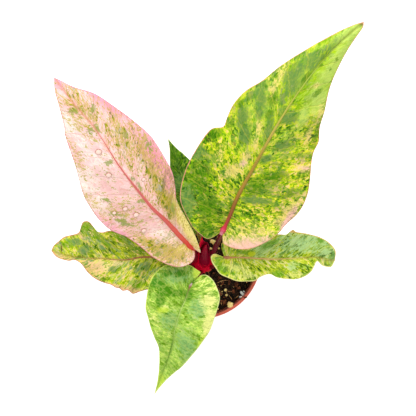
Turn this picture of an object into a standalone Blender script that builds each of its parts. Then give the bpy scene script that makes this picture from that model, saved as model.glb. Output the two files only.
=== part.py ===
"""A potted anthurium: six marbled leaves, a red new shoot, potting soil and a thin plastic nursery pot.

The origin is the centre of the pot's underside and +Z is up.
The sizes are in millimetres, and MM turns them into Blender's metres.
"""

import math
from dataclasses import dataclass

import bmesh
import bpy
from mathutils import Vector, noise

MM = 0.001
GAP = 0.3

# The pot is a tapered cup with a stepped collar and a lip that turns down.
POT_HEIGHT = 95.0
POT_RADIUS = 60.0
POT_BASE_RADIUS = 43.5
POT_SHOULDER_RADIUS = 54.5
POT_COLLAR_RADIUS = 57.4
POT_WALL = 1.0
COLLAR_HEIGHT = 12.0
LEDGE_RISE = 1.6
LIP_DROP = 5.0
LIP_CHAMFER = 0.8
BASE_CHAMFER = 1.5
POT_SEGMENTS = 48
DRAIN_HOLES = 8
DRAIN_RADIUS = 4.0
DRAIN_CIRCLE = 30.0
DRAIN_SIDES = 12

# The potting soil fills the pot, with a plain hole for the rootstock.
SOIL_TOP = 86.0
SOIL_BUMP = 1.5
SOIL_RINGS = 9
SOIL_SEGMENTS = 36
SOIL_CLEARANCE = 0.6
CHIPS = 14
CHIP_RADIUS = 3.4
CHIP_FLATNESS = (0.7, 0.45)
CHIP_STRETCH = 0.5
CHIP_RING = (17.0, 48.0)
CHIP_TURN = 2.1

# The crown is the stubby rootstock that the leaf stalks are set into, as (radius, height) pairs.
CROWN_CENTRE = (2.3, -5.0)
CROWN_SEGMENTS = 20
CROWN_PROFILE = [(5.5, 62.0), (7.0, 72.0), (7.8, 80.0), (9.2, 86.0), (10.2, 91.0), (9.8, 95.5), (8.2, 99.0)]
SOCKET_STATIONS = 6

# The new shoot is a rolled spear. Five upright rails give the pointed sheath that half wraps it.
SPEAR_PATH = [(2.3, -5.4, 99.9), (2.6, -3.6, 110.0), (3.8, 4.0, 126.0), (5.4, 12.0, 138.0)]
SPEAR_RADII = [3.4, 3.3, 2.3, 0.5]
SHEATH_RAILS = [
    [(-2.1, -8.3, 99.3), (-2.8, -6.4, 110.0), (-1.6, 2.0, 126.0), (2.2, 21.0, 150.0)],
    [(-2.6, -2.9, 99.3), (-3.1, -1.4, 110.0), (-1.2, 6.4, 124.0), (1.8, 20.0, 146.0)],
    [(2.3, 0.2, 99.3), (2.6, 2.4, 110.0), (3.6, 9.6, 123.0), (4.0, 17.5, 138.0)],
    [(7.2, -2.9, 99.3), (8.0, -1.0, 110.0), (8.4, 6.4, 124.0), (6.9, 16.0, 137.5)],
    [(6.7, -8.3, 99.3), (7.8, -6.2, 110.0), (8.6, 2.0, 124.0), (7.6, 15.0, 139.0)],
]
SHEATH_THICKNESS = 0.8
SHOOT_RINGS = 12
SHEATH_ROWS = 10

# A blade is a sheet between its rib and its two margins, on a stalk that runs on under it as the rib.
BLADE_THICKNESS = 0.8
BLADE_COLUMNS = 30
VEIN_ROWS = (0.0, 0.35, 0.7, 1.0)
VEIN_SWEEP = 1.7
FULL_WIDTH = 20.0
STALK_RINGS = 9
STALK_TAPER = 0.8
RIB_RINGS = 12
RIB_RADIUS = 1.5
RIB_TIP_RADIUS = 0.45
RIB_SINK = 0.4


@dataclass(frozen=True)
class LeafShape:
    """One leaf. Its stalk runs through points of the plant to the joint of its blade.

    The other points are counted from that joint: along the heading, out to the side, and up.
    A rib point's side is the left one, and a margin point's third number is its height over the rib.
    """

    colour: tuple
    heading: float
    camber: float
    stalk_radius: float
    stalk: list
    rib: list
    left: list
    right: list


LEAVES = {
    "leaf_tall": LeafShape(
        colour=(0.28, 0.43, 0.07),
        heading=57.0,
        camber=3.0,
        stalk_radius=2.6,
        stalk=[(7.4, -0.8, 89.0), (9.6, 1.2, 101.0), (14.5, 10.0, 130.0), (21.0, 27.0, 168.0)],
        rib=[(0, 0, 0), (14, 2, 12), (33, 6, 28), (65, 9, 57), (101, 12, 87), (135, 12, 108),
             (171, 8, 123), (201, 0, 132)],
        left=[(-9, 3, 0), (-13, 8, 4), (-13, 15, 8), (-11, 25, 12), (-5, 36, 14), (3, 47, 14),
              (11, 52, 13), (22, 56, 12), (35, 59, 12), (63, 59, 12), (71, 57, 11), (77, 50, 6),
              (84, 51, 6), (96, 52, 10), (110, 49, 12), (123, 41, 10), (156, 28, 6), (185, 12, 2)],
        right=[(-4, 2, 1), (-8, 5, 4), (-8, 10, 6), (-6, 19, 9), (1, 29, 11), (13, 37, 12),
               (26, 41, 12), (35, 42, 8), (52, 45, 12), (68, 42, 14), (98, 26, 7), (109, 24, 3),
               (118, 18, 6), (130, 13, 9), (148, 5, 7), (175, 1, 3)],
    ),
    "leaf_pink": LeafShape(
        colour=(0.78, 0.52, 0.42),
        heading=128.0,
        camber=2.0,
        stalk_radius=2.3,
        stalk=[(-3.4, -1.7, 90.0), (-5.8, -0.3, 101.0), (-6.6, 4.5, 120.0), (-7.0, 11.5, 142.0)],
        rib=[(0, 0, 0), (19, 2, 17), (35, 3, 30), (49, 5, 42), (66, 5, 54), (96, 4, 74), (132, 0, 91),
             (160, 1, 100), (186, 0, 105)],
        left=[(-5, 2, 3), (-10, 6, 6), (-10, 13, 8), (-6, 21, 9), (2, 27, 10), (15, 33, 10),
              (31, 36, 9), (45, 40, 8), (59, 47, 8), (75, 48, 8), (93, 46, 7), (101, 44, 5),
              (120, 34, 6), (145, 24, 4), (150, 19, 3), (166, 12, 2), (178, 6, 1)],
        right=[(-8, 3, 6), (4, 8, 16), (17, 11, 20), (32, 14, 21), (45, 17, 18), (52, 21, 14),
               (66, 28, 13), (82, 31, 12), (100, 33, 11), (119, 29, 9), (138, 24, 7), (156, 18, 5),
               (170, 8, 3)],
    ),
    "leaf_right": LeafShape(
        colour=(0.30, 0.46, 0.12),
        heading=-2.0,
        camber=1.5,
        stalk_radius=2.0,
        stalk=[(8.0, -8.3, 87.0), (10.8, -9.4, 98.0), (17.5, -4.5, 117.0), (23.5, 1.5, 134.0)],
        rib=[(0, 0, 0), (12, 1, 6), (29, 1, 13), (46, 1, 17), (58, 2, 17), (72, 3, 14), (85, 3, 7),
             (97, 1, -4), (105, 0, -17)],
        left=[(-1, 4, 1), (-3, 9, 3), (-3, 14, 4), (4, 17, 6), (15, 18, 8), (27, 19, 8), (39, 21, 5),
              (49, 24, 1), (57, 24, 1), (62, 28, 7), (67, 27, 5), (79, 25, 0), (87, 23, -2),
              (96, 18, -2), (103, 10, 0)],
        right=[(-4, -1, 1), (-8, -3, 3), (-11, -3, 4), (-13, -1, 5), (-12, 4, 5), (-8, 10, 5),
               (-4, 15, 5), (3, 18, 5), (12, 21, 4), (21, 21, 2), (29, 20, 1), (34, 16, 3),
               (42, 13, 5), (49, 16, 3), (57, 17, 0), (66, 17, -2), (75, 14, -3), (81, 9, -1),
               (86, 3, 3), (92, 4, 0), (100, 5, 0)],
    ),
    "leaf_front": LeafShape(
        colour=(0.32, 0.48, 0.14),
        heading=-108.0,
        camber=3.0,
        stalk_radius=2.0,
        stalk=[(1.4, -11.5, 87.0), (0.8, -14.6, 98.0), (-4.0, -19.0, 115.0), (-8.5, -22.5, 130.0)],
        rib=[(0, 0, 0), (9, 0, 5), (17, 0, 8), (26, -1, 10), (38, -1, 10), (50, 0, 7), (62, 2, 2),
             (76, 2, -6), (98, 1, -19), (116, 0, -29)],
        left=[(-2, 2, 1), (-6, 4, 3), (-10, 7, 4), (-12, 12, 5), (-10, 18, 6), (-6, 23, 7), (4, 30, 7),
              (15, 31, 6), (25, 31, 6), (36, 31, 6), (47, 28, 6), (57, 25, 5), (65, 22, 5), (78, 17, 3),
              (86, 12, 2), (96, 7, 1), (105, 4, 1)],
        right=[(-3, 1, 1), (-8, 1, 3), (-13, 0, 6), (-16, 4, 7), (-16, 13, 6), (-13, 22, 5),
               (-7, 30, 5), (1, 35, 6), (12, 36, 7), (27, 34, 6), (34, 32, 6), (42, 27, 5), (50, 22, 5),
               (58, 16, 5), (67, 9, 3), (76, 6, 2), (90, 3, 1), (101, 2, 1)],
    ),
    "leaf_left": LeafShape(
        colour=(0.36, 0.44, 0.12),
        heading=176.0,
        camber=1.5,
        stalk_radius=1.9,
        stalk=[(-3.7, -7.8, 86.0), (-6.6, -9.0, 96.0), (-10.5, -6.5, 107.0), (-13.5, -2.5, 116.0)],
        rib=[(0, 0, 0), (14, -2, 4), (32, -2, 7), (43, -1, 8), (54, 2, 8), (66, 3, 7), (77, 3, 5),
             (89, 4, 2), (97, 4, -1), (109, 4, -6), (131, 0, -15)],
        left=[(-1, 2, 1), (-2, 6, 2), (1, 13, 3), (9, 20, 3), (18, 24, 3), (26, 27, 2), (34, 29, 2),
              (42, 32, 0), (48, 35, -3), (53, 31, 2), (58, 32, -1), (64, 29, 2), (69, 27, 1),
              (76, 26, 0), (84, 23, 1), (92, 18, -1), (97, 12, 3), (101, 8, 4), (106, 6, 4),
              (112, 8, 1), (118, 8, 0), (125, 6, 0)],
        right=[(-1, 2, 1), (0, 8, 3), (5, 14, 5), (15, 19, 6), (26, 21, 6), (39, 22, 5), (51, 24, 4),
               (63, 25, 3), (75, 24, -1), (81, 22, 1), (87, 24, 5), (92, 29, 8), (97, 30, 8),
               (101, 26, 5), (104, 20, 1), (112, 17, -1), (118, 15, 0), (124, 10, 0), (129, 5, 0)],
    ),
    "leaf_back": LeafShape(
        colour=(0.10, 0.27, 0.05),
        heading=107.0,
        camber=1.5,
        stalk_radius=1.9,
        stalk=[(1.7, 1.6, 90.0), (1.5, 4.6, 101.0), (1.2, 13.0, 116.0), (-1.5, 25.5, 128.0)],
        rib=[(0, 0, 0), (14, 0, 8), (29, 0, 16), (43, -1, 23), (58, -1, 30), (73, -1, 36), (89, 0, 42)],
        left=[(-1, 4, 1), (3, 11, 2), (13, 15, 3), (25, 15, 3), (37, 14, 3), (49, 12, 3), (61, 9, 3),
              (68, 6, 2), (75, 4, 2), (82, 2, 1)],
        right=[(-4, 2, 1), (-3, 9, 2), (5, 15, 3), (17, 19, 3), (30, 18, 3), (43, 17, 3), (55, 16, 3),
               (65, 13, 2), (74, 8, 2), (79, 5, 1)],
    ),
}


def clear_scene():
    """Removes the objects that a new Blender file starts with."""
    for thing in list(bpy.data.objects):
        bpy.data.objects.remove(thing, do_unlink=True)


def finish(name, colour, roughness):
    """A plain material of one colour."""
    made = bpy.data.materials.new(name)
    made.use_nodes = True
    shader = made.node_tree.nodes["Principled BSDF"]
    shader.inputs["Base Color"].default_value = (*colour, 1.0)
    shader.inputs["Roughness"].default_value = roughness
    shader.inputs["Metallic"].default_value = 0.0
    return made


def add_object(name, bm, material=None):
    """Puts a bmesh, in millimetres, into the scene as a smooth-shaded object in metres."""
    bmesh.ops.scale(bm, vec=(MM, MM, MM), verts=bm.verts)
    mesh = bpy.data.meshes.new(name)
    bm.to_mesh(mesh)
    bm.free()
    mesh.shade_smooth()
    mesh.set_sharp_from_angle(angle=math.radians(40))
    thing = bpy.data.objects.new(name, mesh)
    bpy.context.scene.collection.objects.link(thing)
    if material is not None:
        mesh.materials.append(material)
    return thing


def combine(target, tool, operation):
    """Joins or cuts target with tool for good, and removes the tool."""
    step = target.modifiers.new(operation.lower(), "BOOLEAN")
    step.operation = operation
    step.object = tool
    graph = bpy.context.evaluated_depsgraph_get()
    result = bpy.data.meshes.new_from_object(target.evaluated_get(graph))
    target.modifiers.clear()
    target.data = result
    bpy.data.objects.remove(tool, do_unlink=True)


def turned(name, profile, segments, material=None, centre=(0.0, 0.0)):
    """A solid turned about an upright line, from (radius, height) pairs that start and end on it."""
    bm = bmesh.new()
    points = [bm.verts.new((radius, 0.0, height)) for radius, height in profile]
    edges = [bm.edges.new(pair) for pair in zip(points, points[1:])]
    bmesh.ops.spin(bm, geom=points + edges, cent=(0, 0, 0), axis=(0, 0, 1), angle=math.tau,
                   steps=segments, use_merge=True)
    bmesh.ops.remove_doubles(bm, verts=bm.verts, dist=0.01)
    bmesh.ops.translate(bm, vec=(*centre, 0.0), verts=bm.verts)
    bmesh.ops.recalc_face_normals(bm, faces=bm.faces)
    return add_object(name, bm, material)


def smooth_curve(points, steps=16):
    """Many points on the centripetal Catmull-Rom curve through a few points of any size."""
    rows = [Vector(p) for p in points]
    ends = [2 * rows[0] - rows[1], *rows, 2 * rows[-1] - rows[-2]]
    knots = [0.0]
    for a, b in zip(ends, ends[1:]):
        knots.append(knots[-1] + math.sqrt((b - a).length))
    curve = []
    for i in range(1, len(ends) - 2):
        t0, t1, t2, t3 = knots[i - 1:i + 3]
        p0, p1, p2, p3 = ends[i - 1:i + 3]
        for step in range(steps):
            t = t1 + (t2 - t1) * step / steps
            a1 = p0.lerp(p1, (t - t0) / (t1 - t0))
            a2 = p1.lerp(p2, (t - t1) / (t2 - t1))
            a3 = p2.lerp(p3, (t - t2) / (t3 - t2))
            b1 = a1.lerp(a2, (t - t0) / (t2 - t0))
            b2 = a2.lerp(a3, (t - t1) / (t3 - t1))
            curve.append(b1.lerp(b2, (t - t1) / (t2 - t1)))
    curve.append(rows[-1])
    return curve


def stations(points, count, sweep=1.0):
    """Count points along the smooth curve through points, evenly spaced or drawn to its start by sweep."""
    curve = smooth_curve(points)
    lengths = [0.0]
    for a, b in zip(curve, curve[1:]):
        lengths.append(lengths[-1] + (b - a).length)
    result = []
    at = 0
    for i in range(count):
        goal = lengths[-1] * (i / (count - 1)) ** sweep
        while at < len(curve) - 2 and lengths[at + 1] < goal:
            at += 1
        share = (goal - lengths[at]) / (lengths[at + 1] - lengths[at])
        result.append(curve[at].lerp(curve[at + 1], min(1.0, share)))
    return result


def tube(name, points, radii, material=None):
    """A round solid along points, made from a curve with a bevel and filled caps."""
    curve = bpy.data.curves.new(name, "CURVE")
    curve.dimensions = "3D"
    curve.bevel_depth = MM
    curve.bevel_resolution = 2
    curve.use_fill_caps = True
    spline = curve.splines.new("POLY")
    spline.points.add(len(points) - 1)
    for knot, place, radius in zip(spline.points, points, radii):
        knot.co = (*(place * MM), 1.0)
        knot.radius = radius
    guide = bpy.data.objects.new(name + "_curve", curve)
    bpy.context.scene.collection.objects.link(guide)
    graph = bpy.context.evaluated_depsgraph_get()
    mesh = bpy.data.meshes.new_from_object(guide.evaluated_get(graph))
    bpy.data.objects.remove(guide, do_unlink=True)
    bm = bmesh.new()
    bm.from_mesh(mesh)
    bmesh.ops.scale(bm, vec=(1 / MM, 1 / MM, 1 / MM), verts=bm.verts)
    bmesh.ops.remove_doubles(bm, verts=bm.verts, dist=0.01)
    bmesh.ops.recalc_face_normals(bm, faces=bm.faces)
    return add_object(name, bm, material)


def blend_radii(radii, count):
    """Count radii along a piece, read evenly from a few."""
    return [place.x for place in stations([(r, 10.0 * i) for i, r in enumerate(radii)], count)]


def build_pot():
    """The nursery pot, with its drain holes."""
    shoulder = POT_HEIGHT - COLLAR_HEIGHT
    lip = POT_RADIUS - POT_WALL
    profile = [
        (0.0, 0.0),
        (POT_BASE_RADIUS - BASE_CHAMFER, 0.0),
        (POT_BASE_RADIUS, BASE_CHAMFER),
        (POT_SHOULDER_RADIUS, shoulder),
        (POT_COLLAR_RADIUS, shoulder + LEDGE_RISE),
        (POT_COLLAR_RADIUS + POT_WALL / 2, POT_HEIGHT - 2 * POT_WALL),
        (lip, POT_HEIGHT - 2 * POT_WALL),
        (lip, POT_HEIGHT - LIP_DROP),
        (POT_RADIUS, POT_HEIGHT - LIP_DROP),
        (POT_RADIUS, POT_HEIGHT - LIP_CHAMFER),
        (POT_RADIUS - LIP_CHAMFER, POT_HEIGHT),
        (POT_COLLAR_RADIUS, POT_HEIGHT),
        (POT_COLLAR_RADIUS - LIP_CHAMFER, POT_HEIGHT - LIP_CHAMFER),
        (POT_COLLAR_RADIUS - POT_WALL, shoulder + LEDGE_RISE + 0.5 * POT_WALL),
        (POT_SHOULDER_RADIUS - POT_WALL, shoulder + 0.5 * POT_WALL),
        (POT_BASE_RADIUS - POT_WALL, POT_WALL + BASE_CHAMFER / 2),
        (POT_BASE_RADIUS - POT_WALL - BASE_CHAMFER / 2, POT_WALL),
        (0.0, POT_WALL),
    ]
    pot = turned("pot", profile, POT_SEGMENTS, finish("pot", (0.68, 0.17, 0.09), 0.45))
    drills = bmesh.new()
    for hole in range(DRAIN_HOLES):
        angle = math.tau * (hole + 0.5) / DRAIN_HOLES
        drill = bmesh.ops.create_cone(drills, cap_ends=True, segments=DRAIN_SIDES, radius1=DRAIN_RADIUS,
                                      radius2=DRAIN_RADIUS, depth=6 * POT_WALL)
        place = (DRAIN_CIRCLE * math.cos(angle), DRAIN_CIRCLE * math.sin(angle), 0.0)
        bmesh.ops.translate(drills, vec=place, verts=drill["verts"])
    combine(pot, add_object("drain_drills", drills), "DIFFERENCE")
    return pot


def soil_height(x, y):
    """The height of the rough soil surface at a place in the pot."""
    coarse = noise.noise(Vector((x, y, 40.0)) / 14.0)
    fine = noise.noise(Vector((x, y, 40.0)) / 5.0)
    return SOIL_TOP + SOIL_BUMP * (coarse + 0.6 * fine)


def golden_turn(number):
    """The angle that spreads numbered things evenly round a centre."""
    return number * math.pi * (3.0 - math.sqrt(5.0))


def chip_places():
    """The bark chips' numbers and places, clear of the rootstock and the wall."""
    inner, outer = CHIP_RING
    for chip in range(CHIPS):
        radius = inner + (outer - inner) * math.sqrt((chip + 0.5) / CHIPS)
        yield chip, radius * math.cos(golden_turn(chip)), radius * math.sin(golden_turn(chip))


def build_soil():
    """The soil as one solid with a rough top, half-sunk chips and a plain hole for the rootstock."""
    shoulder = POT_HEIGHT - COLLAR_HEIGHT
    floor = POT_WALL + GAP
    base = POT_BASE_RADIUS - POT_WALL - SOIL_CLEARANCE
    neck = POT_SHOULDER_RADIUS - POT_WALL - SOIL_CLEARANCE
    edge = POT_COLLAR_RADIUS - POT_WALL - SOIL_CLEARANCE
    profile = [
        (0.0, floor),
        (base - BASE_CHAMFER, floor),
        (base, floor + BASE_CHAMFER),
        (neck, shoulder + POT_WALL),
        (edge, shoulder + LEDGE_RISE + POT_WALL),
    ]
    profile += [(edge * (1.0 - ring / SOIL_RINGS), SOIL_TOP) for ring in range(SOIL_RINGS + 1)]
    soil = turned("potting_soil", profile, SOIL_SEGMENTS, finish("soil", (0.045, 0.025, 0.015), 0.95))
    for vertex in soil.data.vertices:
        if vertex.co.z > (SOIL_TOP - 0.1) * MM and vertex.co.xy.length < (edge - 1.0) * MM:
            vertex.co.z = soil_height(vertex.co.x / MM, vertex.co.y / MM) * MM
    chips = bmesh.new()
    for chip, x, y in chip_places():
        made = bmesh.ops.create_icosphere(chips, subdivisions=1, radius=CHIP_RADIUS)["verts"]
        length = 1.0 + CHIP_STRETCH * math.sin(golden_turn(chip))
        bmesh.ops.scale(chips, vec=(length, *CHIP_FLATNESS), verts=made)
        turn = Vector((math.cos(CHIP_TURN * chip), math.sin(CHIP_TURN * chip), 0.0))
        bmesh.ops.rotate(chips, cent=(0, 0, 0), verts=made, matrix=turn.to_track_quat("X", "Z").to_matrix())
        bmesh.ops.translate(chips, vec=(x, y, soil_height(x, y)), verts=made)
    combine(soil, add_object("chips", chips), "UNION")
    bottom = CROWN_PROFILE[0][1] - GAP
    bore = [(0.0, bottom)]
    bore += [(radius + SOIL_CLEARANCE, max(bottom, height - GAP)) for radius, height in CROWN_PROFILE]
    bore += [(0.0, CROWN_PROFILE[-1][1])]
    combine(soil, turned("rootstock_drill", bore, CROWN_SEGMENTS, centre=CROWN_CENTRE), "DIFFERENCE")
    return soil


def build_crown():
    """The rootstock, with a socket for each leaf stalk."""
    profile = [(0.0, CROWN_PROFILE[0][1]), *CROWN_PROFILE, (0.0, CROWN_PROFILE[-1][1])]
    crown = turned("crown", profile, CROWN_SEGMENTS, finish("crown", (0.42, 0.02, 0.03), 0.4), CROWN_CENTRE)
    for name, leaf in LEAVES.items():
        path = stations(leaf.stalk, STALK_RINGS)
        path[0] += (path[0] - path[1]).normalized() * GAP
        radii = [leaf.stalk_radius + GAP] * SOCKET_STATIONS
        combine(crown, tube(name + "_socket", path[:SOCKET_STATIONS], radii), "DIFFERENCE")
    return crown


def leaf_curves(leaf):
    """The rib and the two margins of a blade as points of the plant."""
    heading = math.radians(leaf.heading)
    along = Vector((math.cos(heading), math.sin(heading), 0.0))
    across = Vector((-math.sin(heading), math.cos(heading), 0.0))
    joint = Vector(leaf.stalk[-1])
    tip = leaf.rib[-1]

    def place(point, side):
        return joint + along * point[0] + across * (side * point[1]) + Vector((0.0, 0.0, point[2]))

    rib = [place(point, 1) for point in leaf.rib]
    left = [place(point, 1) for point in [(0, 0, 0), *leaf.left, (tip[0], tip[1], 0)]]
    right = [place(point, -1) for point in [(0, 0, 0), *leaf.right, (tip[0], -tip[1], 0)]]
    return rib, left, right


def blade_sheet(leaf):
    """The blade as a sheet of triangles with no thickness."""
    rib_line, left, right = leaf_curves(leaf)
    rib = stations(rib_line, BLADE_COLUMNS + 1, VEIN_SWEEP)
    margins = {1: stations(left, BLADE_COLUMNS + 1), -1: stations(right, BLADE_COLUMNS + 1)}
    rows = len(VEIN_ROWS) - 1
    bm = bmesh.new()
    bmesh.ops.create_grid(bm, x_segments=BLADE_COLUMNS, y_segments=2 * rows, size=1.0)
    bmesh.ops.triangulate(bm, faces=bm.faces)
    for vertex in bm.verts:
        column = round((vertex.co.x + 1.0) / 2.0 * BLADE_COLUMNS)
        row = round(vertex.co.y * rows)
        out = VEIN_ROWS[abs(row)]
        edge = margins[1 if row >= 0 else -1][column] + Vector((0.0, 0.0, rib[column].z - rib[0].z))
        fullness = min(1.0, (edge - rib[column]).length / FULL_WIDTH)
        vertex.co = rib[column].lerp(edge, out)
        vertex.co.z += leaf.camber * fullness * 4.0 * out * (1.0 - out)
    bmesh.ops.remove_doubles(bm, verts=bm.verts, dist=0.02)
    return bm


def build_leaf(name, leaf):
    """A stalk, the rib it runs on as, and the thin cambered blade, as one solid."""
    blade = add_object(name, blade_sheet(leaf), finish(name, leaf.colour, 0.35))
    skin = blade.modifiers.new("thickness", "SOLIDIFY")
    skin.thickness = BLADE_THICKNESS * MM
    skin.offset = 0.0
    path = stations(leaf.stalk, STALK_RINGS)
    slimming = (1.0 - STALK_TAPER) / STALK_RINGS
    radii = [leaf.stalk_radius * (1.0 - slimming * ring) for ring in range(STALK_RINGS)]
    for ring, point in enumerate(stations(leaf_curves(leaf)[0], RIB_RINGS + 1)[:-1]):
        radius = RIB_RADIUS + (RIB_TIP_RADIUS - RIB_RADIUS) * ring / RIB_RINGS
        if ring > 0:
            path.append(point - Vector((0.0, 0.0, RIB_SINK * radius)))
            radii.append(radius)
    combine(blade, tube(name + "_stalk", path, radii), "UNION")
    return blade


def build_spear():
    """The rolled spear of the next leaf."""
    path = stations(SPEAR_PATH, SHOOT_RINGS)
    radii = blend_radii(SPEAR_RADII, SHOOT_RINGS)
    return tube("new_leaf_spear", path, radii, finish("spear", (0.2, 0.01, 0.03), 0.35))


def build_sheath():
    """The red sheath that stands on the crown and half wraps the spear."""
    rails = [stations(rail, SHOOT_RINGS) for rail in SHEATH_RAILS]
    hoops = [stations([rail[ring] for rail in rails], SHEATH_ROWS + 1) for ring in range(SHOOT_RINGS)]
    bm = bmesh.new()
    bmesh.ops.create_grid(bm, x_segments=SHOOT_RINGS - 1, y_segments=SHEATH_ROWS, size=1.0)
    bmesh.ops.triangulate(bm, faces=bm.faces)
    for vertex in bm.verts:
        ring = round((vertex.co.x + 1.0) / 2.0 * (SHOOT_RINGS - 1))
        row = round((vertex.co.y + 1.0) / 2.0 * SHEATH_ROWS)
        vertex.co = hoops[ring][row]
    sheath = add_object("shoot_sheath", bm, finish("sheath", (0.55, 0.01, 0.03), 0.3))
    skin = sheath.modifiers.new("thickness", "SOLIDIFY")
    skin.thickness = SHEATH_THICKNESS * MM
    skin.offset = 0.0
    return sheath


clear_scene()
build_pot()
build_soil()
build_crown()
build_spear()
build_sheath()
for leaf_name, leaf_shape in LEAVES.items():
    build_leaf(leaf_name, leaf_shape)
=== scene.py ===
"""The finished look of a potted anthurium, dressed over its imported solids.

Six marbled leaves on maroon stalks stand round a crimson shoot, in peat and bark in a clay-coloured pot.
Pieces are worked out in millimetres, and MM turns them into metres when they become objects.
"""

import logging
import math
import random
from dataclasses import dataclass
from enum import Enum
from typing import Iterator, Sequence

import bmesh
import bpy
import numpy as np
from mathutils import Matrix, Vector, noise
from mathutils.bvhtree import BVHTree


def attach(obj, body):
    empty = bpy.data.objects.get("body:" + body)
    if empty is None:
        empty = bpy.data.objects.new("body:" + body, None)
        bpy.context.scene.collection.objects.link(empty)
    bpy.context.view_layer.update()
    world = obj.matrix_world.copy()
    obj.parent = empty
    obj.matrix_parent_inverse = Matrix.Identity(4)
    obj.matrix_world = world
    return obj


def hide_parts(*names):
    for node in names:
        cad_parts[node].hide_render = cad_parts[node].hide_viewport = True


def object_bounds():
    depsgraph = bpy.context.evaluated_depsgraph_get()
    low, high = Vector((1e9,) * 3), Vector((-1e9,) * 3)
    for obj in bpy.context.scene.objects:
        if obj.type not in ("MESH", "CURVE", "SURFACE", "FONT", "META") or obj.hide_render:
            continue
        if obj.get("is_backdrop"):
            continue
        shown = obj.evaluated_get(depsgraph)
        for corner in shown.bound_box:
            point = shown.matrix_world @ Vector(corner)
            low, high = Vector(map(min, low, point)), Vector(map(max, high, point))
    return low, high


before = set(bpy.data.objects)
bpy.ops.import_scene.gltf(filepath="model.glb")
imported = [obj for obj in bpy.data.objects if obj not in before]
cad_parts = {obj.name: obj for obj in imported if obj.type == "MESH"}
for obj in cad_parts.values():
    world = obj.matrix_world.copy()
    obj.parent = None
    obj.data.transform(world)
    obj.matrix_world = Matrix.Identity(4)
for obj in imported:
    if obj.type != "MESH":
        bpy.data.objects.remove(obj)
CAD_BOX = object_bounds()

Tint = tuple[float, float, float, float]
Spot = tuple[float, float]
Place = tuple[float, float, float]
Stops = Sequence[tuple[float, Tint]]
Value = "Signal | float | Sequence[float]"
Shape, Material = bmesh.types.BMesh, bpy.types.Material

LOG = logging.getLogger("anthurium")
MM = 0.001
LEAF_GLOSS = 0.07  # the specular level of a blade
VEIN_SPREAD = 220.0  # how long a blade is in its own pattern
SIDE_SHIFT = 700.0  # how far apart the patterns of its two sides lie
FULL_WIDTH = 20.0  # the width of a side from which it arches in full
JOINT_RUN = 0.4  # where a stem's joint is, from its foot at 0 to its tip at 1
CROWN_CENTRE = (2.3, -5.0)  # where in the pot the crown stands


def tint(red: float, green: float, blue: float) -> Tint:
    """A display colour, whose parts go up to 255, as the linear colour that a shader takes."""
    linear = [(max(part, 0) / 255 + 0.055) / 1.055 for part in (red, green, blue)]
    return (*(part**2.4 for part in linear), 1.0)


def stops(*rows: tuple[float, float, float, float]) -> Stops:
    """The stops of a colour ramp, from rows of a position and a display colour."""
    return tuple((position, tint(*colour)) for position, *colour in rows)


WHITE = tint(255, 255, 255)


@dataclass(frozen=True)
class Signal:
    """A socket of a node tree, on which arithmetic adds Math nodes."""

    recipe: "Recipe"
    socket: bpy.types.NodeSocket

    def other(self, name: str) -> "Signal":
        """Another output of the same node."""
        return Signal(self.recipe, self.socket.node.outputs[name])

    def __add__(self, value: Value) -> "Signal":
        """This plus a value."""
        return self.recipe.number("ADD", self, value)

    def __radd__(self, value: Value) -> "Signal":
        """A value plus this."""
        return self.recipe.number("ADD", value, self)

    def __sub__(self, value: Value) -> "Signal":
        """This less a value."""
        return self.recipe.number("SUBTRACT", self, value)

    def __rsub__(self, value: Value) -> "Signal":
        """A value less this."""
        return self.recipe.number("SUBTRACT", value, self)

    def __mul__(self, value: Value) -> "Signal":
        """This times a value."""
        return self.recipe.number("MULTIPLY", self, value)

    def __rmul__(self, value: Value) -> "Signal":
        """A value times this."""
        return self.recipe.number("MULTIPLY", value, self)


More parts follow.
